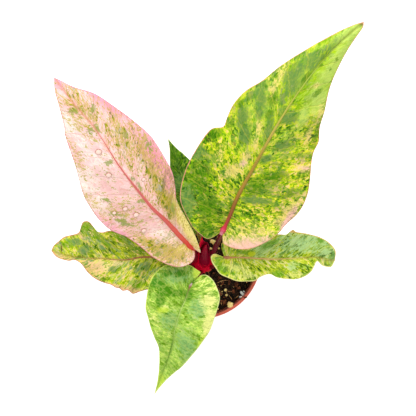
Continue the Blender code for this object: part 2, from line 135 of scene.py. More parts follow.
class Recipe:
    """The node tree of one material."""

    def __init__(self, name: str, gloss: float, coat: float = 0.0, coat_roughness: float = 0.12) -> None:
        """Starts a material with one shader.

        Args:
            name: The finish's name.
            gloss: The shader's specular level.
            coat: The weight of its clear coat.
            coat_roughness: How matt that coat is.
        """
        self.material = bpy.data.materials.new(name)
        self.material.use_nodes = True
        self.tree = self.material.node_tree
        self.shader = self.tree.nodes["Principled BSDF"].inputs
        self.shader["Specular IOR Level"].default_value = gloss
        self.shader["Coat Weight"].default_value = coat
        self.shader["Coat Roughness"].default_value = coat_roughness

    def node(self, kind: str, settings: dict | None = None, inputs: dict | None = None,
             output: int | str = 0) -> Signal:
        """Adds one node.

        Args:
            kind: The node's type without its ShaderNode prefix.
            settings: Its own settings, and stops for a ramp, which are set first.
            inputs: Values or signals for its sockets, by name or number.
            output: The output to read.

        Returns:
            The signal of that output.
        """
        made = self.tree.nodes.new("ShaderNode" + kind)
        for key, value in (settings or {}).items():
            if key == "stops":
                self.set_stops(made.color_ramp.elements, value)
            else:
                setattr(made, key, value)
        for key, value in (inputs or {}).items():
            self.feed(made.inputs[key], value)
        return Signal(self, made.outputs[output])

    def feed(self, socket: bpy.types.NodeSocket, value: Value) -> None:
        """Links a signal to a socket, or sets the socket's own value.

        Args:
            socket: The socket.
            value: The signal, number or colour that it takes.
        """
        if isinstance(value, Signal):
            self.tree.links.new(value.socket, socket)
        else:
            socket.default_value = value

    @staticmethod
    def set_stops(elements: bpy.types.ColorRampElements, rows: Stops) -> None:
        """Gives a colour ramp its stops.

        Args:
            elements: The ramp's own stops.
            rows: The new ones, in rising order.
        """
        while len(elements) < len(rows):
            elements.new(1.0)
        for element, row in zip(elements, rows):
            element.position, element.color = row

    def number(self, operation: str, *values: Value) -> Signal:
        """A Math node on numbers."""
        return self.node("Math", {"operation": operation}, dict(enumerate(values)))

    def vector(self, operation: str, *values: Value) -> Signal:
        """A Vector Math node on vectors."""
        return self.node("VectorMath", {"operation": operation}, dict(enumerate(values)))

    def scaled(self, vector: Signal, scale: float) -> Signal:
        """A vector times a number."""
        return self.node("VectorMath", {"operation": "SCALE"}, {0: vector, "Scale": scale})

    def joined(self, x: Value, y: Value) -> Signal:
        """A vector from two numbers."""
        return self.node("CombineXYZ", None, {"X": x, "Y": y})

    def smooth(self, value: Value, low: float, high: float) -> Signal:
        """0 below low, 1 above high, and a smooth step between them."""
        ends = {"Value": value, "From Min": low, "From Max": high}
        return self.node("MapRange", {"interpolation_type": "SMOOTHSTEP"}, ends)

    def mix(self, factor: Value, first: Value, second: Value, blend: str = "MIX") -> Signal:
        """Two colours mixed by a factor."""
        settings = {"data_type": "RGBA", "blend_type": blend}
        return self.node("Mix", settings, {0: factor, 6: first, 7: second}, output=2)

    def lay(self, mask: Value, ends: Spot, cover: Value, first: Value, second: Value) -> Signal:
        """The second colour laid on the first by cover, as far as a mask has climbed between two ends."""
        return self.mix(self.smooth(mask, *ends) * cover, first, second)

    def ramp(self, value: Signal, rows: Stops) -> Signal:
        """The colour of a ramp at a value."""
        return self.node("ValToRGB", {"stops": rows}, {"Fac": value})

    def field(self, name: str) -> Signal:
        """A number that the piece's mesh carries."""
        return self.node("Attribute", {"attribute_name": name}, output="Fac")

    def chart(self, name: str) -> Signal:
        """The first number of a UV map, whose second is the same node's other."""
        return self.node("SeparateXYZ", None, {"Vector": self.node("UVMap", {"uv_map": name})})

    def place(self) -> Signal:
        """The place on the object, in millimetres."""
        return self.scaled(self.node("TexCoord", output="Object"), 1.0 / MM)

    def cloud(self, vector: Signal, size: float, detail: float = 2.0, output: str = "Fac") -> Signal:
        """Soft noise with features of a size in millimetres."""
        return self.node("TexNoise", None, {"Vector": vector, "Scale": 1.0 / size, "Detail": detail}, output)

    def cells(self, vector: Signal, size: float, feature: str = "F1", output: str = "Distance") -> Signal:
        """Voronoi cells of a size in millimetres."""
        return self.node("TexVoronoi", {"feature": feature}, {"Vector": vector, "Scale": 1.0 / size}, output)

    def borders(self, vector: Signal, size: float) -> Signal:
        """The distance to the borders of cells of a size."""
        return self.cells(vector, size, "DISTANCE_TO_EDGE")

    def draw(self, vector: Signal, size: float) -> Signal:
        """One random number from 0 to 1 for each cell, whose other outputs are further ones."""
        return self.node("SeparateColor", None, {"Color": self.cells(vector, size, output="Color")})

    def finish(self, colour: Value, roughness: Value, relief: "Signal | None" = None) -> Material:
        """Feeds the shader.

        Args:
            colour: The base colour.
            roughness: The roughness.
            relief: The height of its fine relief, in millimetres.

        Returns:
            The finished material.
        """
        self.feed(self.shader["Base Color"], colour)
        self.feed(self.shader["Roughness"], roughness)
        if relief is not None:
            self.feed(self.shader["Normal"], self.node("Bump", None, {"Height": relief, "Distance": MM}))
        return self.material


class Kind(Enum):
    """The kinds of marks on a blade. The value names the field that its mesh carries."""

    TONE = "tone"
    CALM = "calm"
    MIST = "mist"
    SAGE = "sage"
    VIVID = "vivid"
    CREAM = "cream"
    BUTTER = "butter"
    BLUSH = "blush"
    ROSY = "rosy"
    SCAR = "scar"


class Skin(Enum):
    """The two faces of a blade."""

    UPPER = "upper"
    UNDER = "under"


@dataclass(frozen=True)
class Oval:
    """The place of a mark on a blade, along and left of the leaf's heading from its joint."""

    along: float
    left: float
    length: float
    width: float
    turn: float = 0.0
    strength: float = 1.0

    def near(self, along: np.ndarray, left: np.ndarray) -> np.ndarray:
        """How near places are to the oval.

        Args:
            along: The places' distances along the heading.
            left: Their distances to the left of it.

        Returns:
            1 at the oval's middle, 0.5 on its edge, and 0 from twice its size on.
        """
        cosine, sine = math.cos(math.radians(self.turn)), math.sin(math.radians(self.turn))
        x = ((along - self.along) * cosine + (left - self.left) * sine) / self.length
        y = ((left - self.left) * cosine - (along - self.along) * sine) / self.width
        return np.clip(1.0 - np.hypot(x, y) / 2.0, 0.0, 1.0)

    def swell(self, along: np.ndarray, left: np.ndarray) -> np.ndarray:
        """A smooth bump over the oval, as high as its strength."""
        near = self.near(along, left)
        return self.strength * near * near * (3.0 - 2.0 * near)


def ovals(*rows: Sequence[float]) -> list[Oval]:
    """Ovals from rows of their own numbers."""
    return [Oval(*row) for row in rows]


def marked(**kinds: Sequence[Sequence[float]]) -> dict[Kind, list[Oval]]:
    """The marks of a blade, from rows for each kind of them."""
    return {Kind(name): ovals(*rows) for name, rows in kinds.items()}


@dataclass(frozen=True)
class Wash:
    """A colour laid over the flecks of a blade where its marks are.

    Fray breaks its edge up into flecks, soft is the width of that edge, and cover is its strength.
    """

    colour: Tint
    fray: float
    soft: float = 0.07
    cover: float = 0.9


def washed(**rows: Sequence[float]) -> dict[Kind, Wash]:
    """A blade's washes in their order, from rows of a display colour, fray, softness and cover."""
    return {Kind(name): Wash(tint(*row[:3]), *row[3:]) for name, row in rows.items()}


@dataclass(frozen=True)
class Marbling:
    """The colours of one blade: its flecks from dark to pale, then washes, veins, rib and margin."""

    flecks: Stops
    washes: dict[Kind, Wash]
    tone: float
    contrast: float
    vein: Tint
    rib: Tint
    margins: tuple[Tint, Tint]
    veins: int
    haze: Tint
    haze_cover: float = 0.5
    fleck: float = 2.2
    vein_cover: float = 0.4
    net_cover: float = 0.22
    margin_width: float = 1.0
    islands: float = 0.0
    streaks: float = 1.3
    freckle: Tint = tint(240, 204, 126)
    freckle_cover: float = 0.0
    plain_fold: float = 0.0
    roughness: float = 0.42
    under: Tint = tint(165, 190, 130)

    def material(self, name: str, skin: Skin) -> Material:
        """One face's material.

        Args:
            name: The leaf's name.
            skin: Which face it dresses.

        Returns:
            The finished material.
        """
        recipe = Recipe(f"{name}_{skin.value}", LEAF_GLOSS)
        along = recipe.chart("blade")
        left = recipe.number("GREATER_THAN", along.other("Y"), 0.5)
        place = recipe.place()
        rib, edge = recipe.field("from_rib"), recipe.field("from_edge")
        flow = recipe.joined(along * VEIN_SPREAD + left * SIDE_SHIFT, rib * 0.75)
        stir = recipe.vector("SUBTRACT", recipe.cloud(flow, 3.0, 3.0, "Color"), (0.5, 0.5, 0.5))
        flow = recipe.vector("ADD", flow, recipe.scaled(stir, 4.5))
        blotch, speck, grain = (recipe.draw(flow, self.fleck * size) for size in (2.5, 1.0, 0.45))
        cloud, ragged = recipe.cloud(place, 16.0), recipe.cloud(place, 5.0, 4.0)
        lively = 1.0 - recipe.field(Kind.CALM.value) * 0.8
        lace = recipe.borders(flow, self.fleck * 1.4)
        streaks = recipe.cloud(recipe.vector("MULTIPLY", flow, (1.0, 0.28, 1.0)), 1.9, 3.0)
        flecked = (blotch - 0.5) * 0.55 + (speck - 0.5) * 0.7 + (grain - 0.5) * 0.32
        flecked = flecked + (0.17 - lace) * 0.9 + (streaks - 0.5) * self.streaks
        flecked = (flecked * self.contrast + (cloud - 0.5) * 0.5 + (ragged - 0.5) * 0.4) * lively
        colour = recipe.ramp(recipe.field(Kind.TONE.value) + flecked, self.flecks)
        patch = blotch.other("Green") * 0.65 + speck.other("Green") * 0.3 + ragged * 0.4
        colour = recipe.lay(patch, (0.78, 0.9), self.haze_cover, colour, self.haze)
        freckled = blotch.other("Blue") * 0.35 + speck.other("Blue") * 0.5 + (streaks - 0.5) * 0.8
        colour = recipe.lay(freckled, (0.66, 0.8), lively * self.freckle_cover, colour, self.freckle)
        phase = along * float(self.veins) + (ragged - 0.5) * 0.35 + left * 0.5
        swing = recipe.number("PINGPONG", phase, 0.5)
        if self.islands:
            cell = {"W": recipe.number("FLOOR", phase + left * 31.0)}
            lot = recipe.node("TexWhiteNoise", {"noise_dimensions": "1D"}, cell, "Value")
            island = swing * 0.9 + lot * 0.45 + (cloud - 0.5) * 1.6 + (ragged - 0.5)
            colour = recipe.lay(island, (0.62, 0.74), self.islands, colour, self.washes[Kind.SAGE].colour)
        frayed = grain * 0.5 + speck * 0.5 - 0.5
        for kind, wash in self.washes.items():
            near = recipe.field(kind.value) + frayed * wash.fray + (ragged - 0.5) * 0.5
            ends = (0.5 - wash.soft, 0.5 + wash.soft)
            colour = recipe.lay(near, ends, wash.cover, colour, wash.colour)
        shade = recipe.node("CombineColor", None, dict.fromkeys(range(3), 0.89 + 0.14 * grain + 0.08 * speck))
        colour = recipe.mix(1.0, colour, shade, "MULTIPLY")
        line = 1.0 - recipe.smooth(swing * (VEIN_SPREAD / self.veins), 0.12, 0.8)
        net = 1.0 - recipe.smooth(recipe.borders(flow, 5.5), 0.0, 0.11)
        veined = recipe.number("MAXIMUM", line * self.vein_cover, net * self.net_cover)
        colour = recipe.lay(edge, (0.5, 5.0), veined, colour, self.vein)
        colour = recipe.mix(0.4 - recipe.smooth(rib, 0.8, 3.0) * 0.4, colour, self.rib)
        rim = 1.0 - recipe.smooth(edge + (ragged - 0.5) * 2.0, self.margin_width * 0.3, self.margin_width)
        rim = rim * (1.0 - recipe.smooth(recipe.field(Kind.BUTTER.value), 0.25, 0.5) * self.plain_fold)
        colour = recipe.mix(rim * 0.8, colour, recipe.mix(left, *self.margins))
        relief = (1.0 - line) * 0.28 + (1.0 - net) * 0.07 + recipe.cloud(place, 0.9) * 0.05
        roughness = self.roughness + (ragged - 0.5) * 0.25
        if skin is Skin.UNDER:
            colour, roughness = recipe.mix(0.5, colour, self.under), roughness + 0.18
        return recipe.finish(colour, roughness, relief)


@dataclass(frozen=True)
class StalkSkin:
    """The skin of a stem, with colours from its foot at 0, past its joint, to its tip at 1."""

    rows: Stops
    streak: Tint = tint(90, 20, 30)
    fleck: Tint = tint(240, 200, 160)

    def material(self, name: str) -> Material:
        """The skin's material, with fine streaks along it.

        Args:
            name: The leaf's name.

        Returns:
            The finished material.
        """
        recipe = Recipe(f"{name}_stalk_skin", gloss=0.25)
        skin = recipe.chart("skin")
        streaks = recipe.cloud(recipe.joined(skin * 40.0, skin.other("Y") * 14.0), 1.0, 3.0)
        colour = recipe.ramp(recipe.field("run") + (streaks - 0.5) * 0.03, self.rows)
        colour = recipe.lay(streaks, (0.52, 0.75), 0.25, colour, self.streak)
        flecks = recipe.smooth(recipe.cells(recipe.place(), 0.9), 0.0, 0.35)
        colour = recipe.mix((1.0 - flecks) * 0.1, colour, self.fleck)
        return recipe.finish(colour, 0.34 + (streaks - 0.5) * 0.3, streaks * 0.12)


@dataclass(frozen=True)
class ShootSkin:
    """The skin of the crown, the sheath and the spear, from dark to bright up a field named run."""

    rows: Stops
    streak: Tint
    streak_cover: float

    def material(self, name: str) -> Material:
        """The skin's material, with upright streaks and a faint gloss.

        Args:
            name: The piece's name.

        Returns:
            The finished material.
        """
        recipe = Recipe(f"{name}_skin", gloss=0.05, coat=0.01)
        streaks = recipe.cloud(recipe.vector("MULTIPLY", recipe.place(), (1.0, 1.0, 0.16)), 1.6, 3.0)
        colour = recipe.ramp(recipe.field("run") + (streaks - 0.5) * 0.16, self.rows)
        colour = recipe.lay(streaks, (0.48, 0.7), self.streak_cover, colour, self.streak)
        return recipe.finish(colour, 0.4 + (streaks - 0.5) * 0.2, streaks * 0.15)


@dataclass(frozen=True)
class ClayPlastic:
    """Thin clay-coloured nursery plastic, scuffed outside, and darkened inside by peat splashes and painted
    shade.
    """

    body: Tint = tint(208, 90, 68)
    worn: Tint = tint(220, 114, 90)
    darker_foot: Tint = tint(176, 84, 62)
    scuffed: Tint = tint(236, 156, 132)
    peat: Tint = tint(70, 42, 30)

    def material(self) -> Material:
        """The plastic's material.

        Returns:
            The finished material.
        """
        recipe = Recipe("clay_plastic", gloss=0.4)
        place = recipe.place()
        mottle = recipe.cloud(place, 9.0, 4.0)
        scuff = recipe.cloud(recipe.vector("MULTIPLY", place, (1.0, 1.0, 6.0)), 3.0, 4.0)
        colour = recipe.lay(mottle, (0.35, 0.7), 0.45, self.body, self.worn)
        height = recipe.node("SeparateXYZ", None, {"Vector": place}, "Z")
        # The plastic is mixed darker towards the bottom of the pot.
        foot = 1.0 - recipe.smooth(height + (mottle - 0.5) * 40.0, 2.0, 34.0)
        colour = recipe.mix(foot * 0.4, colour, self.darker_foot)
        colour = recipe.lay(scuff, (0.58, 0.72), 0.22, colour, self.scuffed)
        splash = recipe.smooth(recipe.cloud(place, 2.2, 5.0), 0.5, 0.62)
        # The inside takes the peat colour: partly peat splashes, partly painted shade.
        colour = recipe.mix(recipe.field("inside") * (0.55 + 0.4 * splash), colour, self.peat)
        colour = recipe.lay(recipe.cloud(place, 0.8, 3.0), (0.64, 0.72), 0.5, colour, self.peat)
        roughness = 0.42 + (mottle - 0.5) * 0.3 + scuff * 0.1
        return recipe.finish(colour, roughness, scuff * 0.08 + recipe.cloud(place, 0.5) * 0.03)


@dataclass(frozen=True)
class Crumb:
    """A rough, matt finish of loose matter: peat, bark, perlite or root fibre."""

    name: str
    dark: Tint
    light: Tint
    size: float
    relief: float
    gloss: float

    def material(self) -> Material:
        """The matter's material.

        Returns:
            The finished material.
        """
        recipe = Recipe(self.name, self.gloss)
        place = recipe.place()
        rough, chips = recipe.cloud(place, self.size, 5.0), recipe.draw(place, self.size * 0.8)
        colour = recipe.lay(rough * 0.6 + chips * 0.4, (0.3, 0.75), 1.0, self.dark, self.light)
        relief = rough * self.relief + chips * self.relief * 0.4
        return recipe.finish(colour, 0.82 + (rough - 0.5) * 0.2, relief)


@dataclass(frozen=True)
class WaterBead:
    """Water on a pink blade, coloured with painted light: a painted highlight at its top at 0, dimming to
    painted shade at its foot at 1 in a field named run.
    """

    rows: Stops = stops((0, 248, 218, 204), (0.35, 240, 200, 184), (0.52, 222, 168, 152),
                        (0.68, 160, 104, 92), (1, 124, 76, 70))

    def material(self) -> Material:
        """The water's material.

        Returns:
            The finished material.
        """
        recipe = Recipe("water_bead", gloss=0.3)
        uneven = recipe.cloud(recipe.place(), 1.5)
        return recipe.finish(recipe.ramp(recipe.field("run") + (uneven - 0.5) * 0.15, self.rows), 0.06)


def smooth_curve(points: Sequence[Place], steps: int = 16) -> list[Vector]:
    """Many points on the centripetal Catmull-Rom curve through a few.

    Args:
        points: The points that the curve passes through.
        steps: How many points each stretch gets.

    Returns:
        The curve's points.
    """
    rows = [Vector(p) for p in points]
    ends = [2 * rows[0] - rows[1], *rows, 2 * rows[-1] - rows[-2]]
    knots = [0.0]
    for a, b in zip(ends, ends[1:]):
        knots.append(knots[-1] + math.sqrt((b - a).length))
    curve = []
    for i in range(1, len(ends) - 2):
        near = knots[i - 1:i + 3]
        for step in range(steps):
            t = near[1] + (near[2] - near[1]) * step / steps
            row = ends[i - 1:i + 3]
            for first, wide in ((0, 1), (0, 2), (1, 1)):
                row = [a.lerp(b, (t - near[k]) / (near[k + wide] - near[k]))
                       for k, (a, b) in enumerate(zip(row, row[1:]), first)]
            curve.append(row[0])
    return [*curve, rows[-1]]


def stations(points: Sequence[Place], count: int, sweep: float = 1.0) -> list[Vector]:
    """Points along the smooth curve through a few, evenly spaced or drawn to its start.

    Args:
        points: The points that the curve passes through.
        count: How many stations it gets.
        sweep: 1 for even spacing, and more to draw them to the start.

    Returns:
        The stations.
    """
    curve = smooth_curve(points)
    lengths = [0.0]
    for a, b in zip(curve, curve[1:]):
        lengths.append(lengths[-1] + (b - a).length)
    result = []
    at = 0
    for i in range(count):
        goal = lengths[-1] * (i / (count - 1)) ** sweep
        while at < len(curve) - 2 and lengths[at + 1] < goal:
            at += 1
        share = (goal - lengths[at]) / (lengths[at + 1] - lengths[at])
        result.append(curve[at].lerp(curve[at + 1], min(1.0, share)))
    return result


def blend_radii(radii: Sequence[float], count: int) -> list[float]:
    """Count radii along a piece, read evenly from a few."""
    return [place.x for place in stations([(r, 10.0 * i, 0.0) for i, r in enumerate(radii)], count)]


def gridded(bm: Shape, columns: int, rows: int) -> Iterator[tuple[bmesh.types.BMVert, int, int]]:
    """Adds a flat grid of faces, from -1 to 1 both ways.

    Args:
        bm: What it is added to.
        columns: How many faces it has one way.
        rows: How many it has the other way.

    Yields:
        Each of its vertices, with its column and its row.
    """
    bmesh.ops.create_grid(bm, x_segments=columns, y_segments=rows, size=1.0, calc_uvs=True)
    for vertex in bm.verts:
        yield vertex, round((vertex.co.x + 1.0) / 2.0 * columns), round((vertex.co.y + 1.0) / 2.0 * rows)


def tube(path: Sequence[Vector], radii: Sequence[float], sides: int, runs: Sequence[float]) -> Shape:
    """A closed round solid along a path, with a UV map named skin and a field named run.

    Args:
        path: The points of its centre line.
        radii: Its radius at each of them.
        sides: How many sides it has.
        runs: The field's value at each of them.

    Returns:
        The solid.
    """
    bm = bmesh.new()
    bm.loops.layers.uv.new("skin")
    run = bm.verts.layers.float.new("run")
    spans = len(path) - 1
    headings = [(path[min(i + 1, spans)] - path[max(i - 1, 0)]).normalized() for i in range(spans + 1)]
    tops = [Vector((0.0, 0.0, 1.0)).cross(headings[0]).cross(headings[0]) * -1.0]
    if tops[0].length < 0.2:
        tops[0] = Vector((0.0, 1.0, 0.0))
    for heading in headings[1:]:
        tops.append(tops[-1] - heading * tops[-1].dot(heading))
    for vertex, ring, _ in gridded(bm, spans, sides):
        turn = (vertex.co.y + 1.0) * math.pi
        top = tops[ring].normalized()
        side = headings[ring].cross(top)
        vertex[run] = runs[ring]
        vertex.co = path[ring] + (top * math.cos(turn) + side * math.sin(turn)) * radii[ring]
    bmesh.ops.remove_doubles(bm, verts=bm.verts, dist=0.002)
    bmesh.ops.holes_fill(bm, edges=[edge for edge in bm.edges if edge.is_boundary], sides=sides)
    bmesh.ops.recalc_face_normals(bm, faces=bm.faces)
    return bm


def turned(profile: Sequence[Spot], segments: int) -> Shape:
    """A solid turned about the upright axis.

    Args:
        profile: Radius and height pairs, from the axis back to the axis.
        segments: How many steps it turns in.

    Returns:
        The solid.
    """
    bm = bmesh.new()
    points = [bm.verts.new((radius, 0.0, height)) for radius, height in profile]
    edges = [bm.edges.new(pair) for pair in zip(points, points[1:])]
    bmesh.ops.spin(bm, geom=points + edges, cent=(0, 0, 0), axis=(0, 0, 1), angle=math.tau,
                   steps=segments, use_merge=True)
    bmesh.ops.remove_doubles(bm, verts=bm.verts, dist=0.01)
    bmesh.ops.recalc_face_normals(bm, faces=bm.faces)
    return bm


def meshed(name: str, bm: Shape) -> bpy.types.Mesh:
    """A bmesh as a mesh.

    Args:
        name: The mesh's name.
        bm: The bmesh, which is freed.

    Returns:
        The mesh.
    """
    mesh = bpy.data.meshes.new(name)
    bm.to_mesh(mesh)
    bm.free()
    return mesh


def placed(name: str, data: bpy.types.ID) -> bpy.types.Object:
    """A new object in the scene.

    Args:
        name: The object's name.
        data: Its mesh, lamp or camera.

    Returns:
        The object, at the origin.
    """
    made = bpy.data.objects.new(name, data)
    bpy.context.scene.collection.objects.link(made)
    return made


def make_piece(name: str, bm: Shape, finishes: Sequence[Material], slot: str, node: str = "",
               sharp: float = 40.0) -> bpy.types.Object:
    """Puts a bmesh in millimetres into the scene as a smooth-shaded piece of the plant.

    Args:
        name: The piece's name.
        bm: Its shape, which is freed.
        finishes: Its materials.
        slot: The record's material slot. It is not used.
        node: The CAD node that it stands for.
        sharp: The angle in degrees past which an edge stays sharp.

    Returns:
        The new object.
    """
    bmesh.ops.scale(bm, vec=(MM, MM, MM), verts=bm.verts)
    mesh = meshed(name, bm)
    mesh.shade_smooth()
    mesh.set_sharp_from_angle(angle=math.radians(sharp))
    for finish in finishes:
        mesh.materials.append(finish)
    piece = placed(name, mesh)
    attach(piece, "root")
    if node:
        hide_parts(node)
    LOG.info("%s: %d faces", name, len(mesh.polygons))
    return piece


def thicken(sheet: bpy.types.Object, thickness: float) -> None:
    """Gives a sheet its thickness, and the second of its materials to its back."""
    wall = sheet.modifiers.new("thickness", "SOLIDIFY")
    wall.thickness, wall.offset, wall.material_offset = thickness * MM, 0.0, 1


@dataclass(frozen=True)
class LeafForm:
    """The shape of one leaf. Its stalk runs through points of the plant to the joint of its blade.

    The other points are counted from that joint: along the heading, out to the side, and up.
    A rib point's side is the left one, and a margin point's third number is its height over the rib.
    """

    heading: float
    camber: float
    stalk_radius: float
    rib_radius: float
    stalk: Sequence[Place]
    rib: Sequence[Place]
    left: Sequence[Place]
    right: Sequence[Place]


@dataclass
class Leaf:
    """One leaf: a thin quilted blade, and the stalk that runs on under it as its rib."""

    name: str
    slot: str
    form: LeafForm
    marbling: Marbling
    skin: StalkSkin
    marks: dict[Kind, Sequence[Oval]]
    bumps: Sequence[Oval] = ()
    columns: int = 132
    rows: int = 30
    thickness: float = 0.7
    quilting: float = 0.3
    pucker: float = 0.45
    pucker_size: float = 11.0
    stalk_rings: int = 40
    stalk_taper: float = 0.2
    rib_rings: int = 70
    sides: int = 14
    knob: float = 0.3
    knob_rise: float = 1.5
    knob_length: float = 4.0
    rib_tip_radius: float = 0.3
    rib_sink: float = 0.1
    rib_taper: float = 1.3
    sweep: float = 1.7

    def plan(self) -> tuple[Vector, Vector, Vector]:
        """The leaf's own axes.

        Returns:
            The joint, and the directions along and left of the heading.
        """
        heading = math.radians(self.form.heading)
        along = Vector((math.cos(heading), math.sin(heading), 0.0))
        return Vector(self.form.stalk[-1]), along, Vector((-along.y, along.x, 0.0))

    def curves(self) -> list[list[Vector]]:
        """The leaf's lines, as points of the plant.

        Returns:
            The rib, the left margin and the right margin.
        """
        joint, along, across = self.plan()
        tip, side, _ = self.form.rib[-1]
        lines = ((self.form.rib, 1), ([(0, 0, 0), *self.form.left, (tip, side, 0)], 1),
                 ([(0, 0, 0), *self.form.right, (tip, -side, 0)], -1))
        return [[joint + along * x + across * (turn * y) + Vector((0.0, 0.0, z)) for x, y, z in points]
                for points, turn in lines]

    def sheet(self) -> Shape:
        """The blade with no thickness, with a UV map named blade.

        Returns:
            The sheet, whose fields hold the distances to rib and edge.
        """
        joint, along, across = self.plan()
        rib_line, left, right = self.curves()
        rib = stations(rib_line, self.columns + 1, self.sweep)
        margins = {1: stations(left, self.columns + 1), -1: stations(right, self.columns + 1)}
        bm = bmesh.new()
        bm.loops.layers.uv.new("blade")
        from_rib, from_edge = (bm.verts.layers.float.new(name) for name in ("from_rib", "from_edge"))
        for vertex, column, row in gridded(bm, self.columns, 2 * self.rows):
            side = 1 if row >= self.rows else -1
            out = abs(row - self.rows) / self.rows
            edge = margins[side][column] + Vector((0.0, 0.0, rib[column].z - rib[0].z))
            width = (edge - rib[column]).length
            arch = min(1.0, width / FULL_WIDTH) * 4.0 * out * (1.0 - out)
            vertex[from_rib], vertex[from_edge] = width * out, width * (1.0 - out)
            vertex.co = rib[column].lerp(edge, out)
            phase = self.marbling.veins * column / self.columns + (0.5 if side > 0 else 0.0)
            full = min(1.0, 2.0 * arch)
            ripple = math.cos(math.tau * phase) * full
            bulge = noise.noise(vertex.co / self.pucker_size) * self.pucker * full
            spot = vertex.co - joint
            bulge += sum(float(bump.swell(spot.dot(along), spot.dot(across))) for bump in self.bumps)
            vertex.co.z += self.form.camber * arch - self.quilting * ripple + bulge
        bmesh.ops.remove_doubles(bm, verts=bm.verts, dist=0.02)
        return bm

    def paint(self, mesh: bpy.types.Mesh) -> None:
        """Writes the blade's marks into its mesh as fields.

        Args:
            mesh: The blade's mesh.
        """
        joint, along, across = (np.array(axis) for axis in self.plan())
        spots = np.zeros(len(mesh.vertices) * 3, np.float32)
        mesh.vertices.foreach_get("co", spots)
        spots = spots.reshape(-1, 3) / MM - joint
        plan = (spots @ along, spots @ across)
        for kind in [Kind.TONE, Kind.CALM, *self.marbling.washes]:
            total = np.full(len(spots), self.marbling.tone if kind is Kind.TONE else 0.0)
            for oval in self.marks.get(kind, ()):
                if kind in (Kind.TONE, Kind.CALM):
                    total += oval.swell(*plan)
                else:
                    total = np.maximum(total, oval.near(*plan) * oval.strength)
            layer = mesh.attributes.new(kind.value, "FLOAT", "POINT")
            layer.data.foreach_set("value", total.astype(np.float32))

    def stem(self) -> Shape:
        """The stalk, its swollen joint and the tapering rib.

        Returns:
            The solid.
        """
        form = self.form
        stalk = stations(form.stalk, self.stalk_rings + 1)
        rib = stations(self.curves()[0], self.rib_rings + 1)[1:]
        length = sum((b - a).length for a, b in zip(stalk, stalk[1:]))
        path, radii, runs = [], [], []
        for ring, point in enumerate(stalk):
            share = ring / self.stalk_rings
            swell = self.knob * math.exp(-(((1.0 - share) * length / self.knob_length) ** 2))
            path.append(point + Vector((0.0, 0.0, self.knob_rise * swell)))
            radii.append((form.stalk_radius * (1.0 - self.stalk_taper * share)) * (1.0 + swell))
            runs.append(JOINT_RUN * share)
        start = radii[-1] - form.rib_radius
        for ring, point in enumerate(rib, 1):
            share = ring / self.rib_rings
            near = math.exp(-(((point - rib[0]).length / self.knob_length) ** 2))
            taper = (form.rib_radius - self.rib_tip_radius) * (1.0 - share) ** self.rib_taper
            radii.append(self.rib_tip_radius + taper + start * near)
            rise = self.knob_rise * self.knob * near - self.rib_sink * radii[-1]
            path.append(point + Vector((0.0, 0.0, rise)))
            runs.append(JOINT_RUN + (1.0 - JOINT_RUN) * share)
        return tube(path, radii, self.sides, runs)

    def build(self) -> BVHTree:
        """Builds and dresses the leaf.

        Returns:
            The blade's middle surface, in millimetres, for what lies on it.
        """
        sheet = self.sheet()
        surface = BVHTree.FromBMesh(sheet)
        faces = [self.marbling.material(self.name, skin) for skin in Skin]
        blade = make_piece(self.name + "_blade", sheet, faces, self.slot, self.name, 60.0)
        self.paint(blade.data)
        thicken(blade, self.thickness)
        make_piece(self.name + "_stem", self.stem(), [self.skin.material(self.name)], self.slot)
        return surface


GREEN_FLECKS = stops((0, 44, 82, 0), (0.16, 68, 110, 0), (0.32, 98, 138, 0), (0.45, 136, 168, 0),
    (0.56, 166, 192, 10), (0.69, 200, 212, 34), (0.84, 218, 218, 78), (0.95, 232, 216, 118),
    (1, 238, 208, 152))
ROSE_FLECKS = stops((0, 92, 120, 10), (0.16, 146, 150, 20), (0.26, 190, 172, 56), (0.33, 236, 184, 150),
    (0.42, 242, 186, 178), (0.58, 248, 198, 194), (0.78, 250, 210, 204), (1, 254, 232, 222))
TALL_FLECKS = stops((0, 40, 86, 0), (0.16, 62, 116, 0), (0.32, 92, 146, 0), (0.45, 132, 176, 0),
    (0.56, 166, 200, 2), (0.69, 202, 216, 8), (0.84, 226, 220, 44), (0.95, 238, 210, 90),
    (1, 242, 204, 134))
FRONT_FLECKS = stops((0, 70, 116, 0), (0.22, 100, 146, 6), (0.42, 132, 176, 50), (0.6, 162, 202, 84),
    (0.78, 196, 216, 90), (0.92, 220, 228, 132), (1, 232, 226, 146))
BACK_FLECKS = stops((0, 24, 62, 0), (0.3, 44, 92, 0), (0.5, 66, 118, 6), (0.68, 110, 150, 20),
    (0.84, 160, 184, 50), (1, 190, 200, 90))

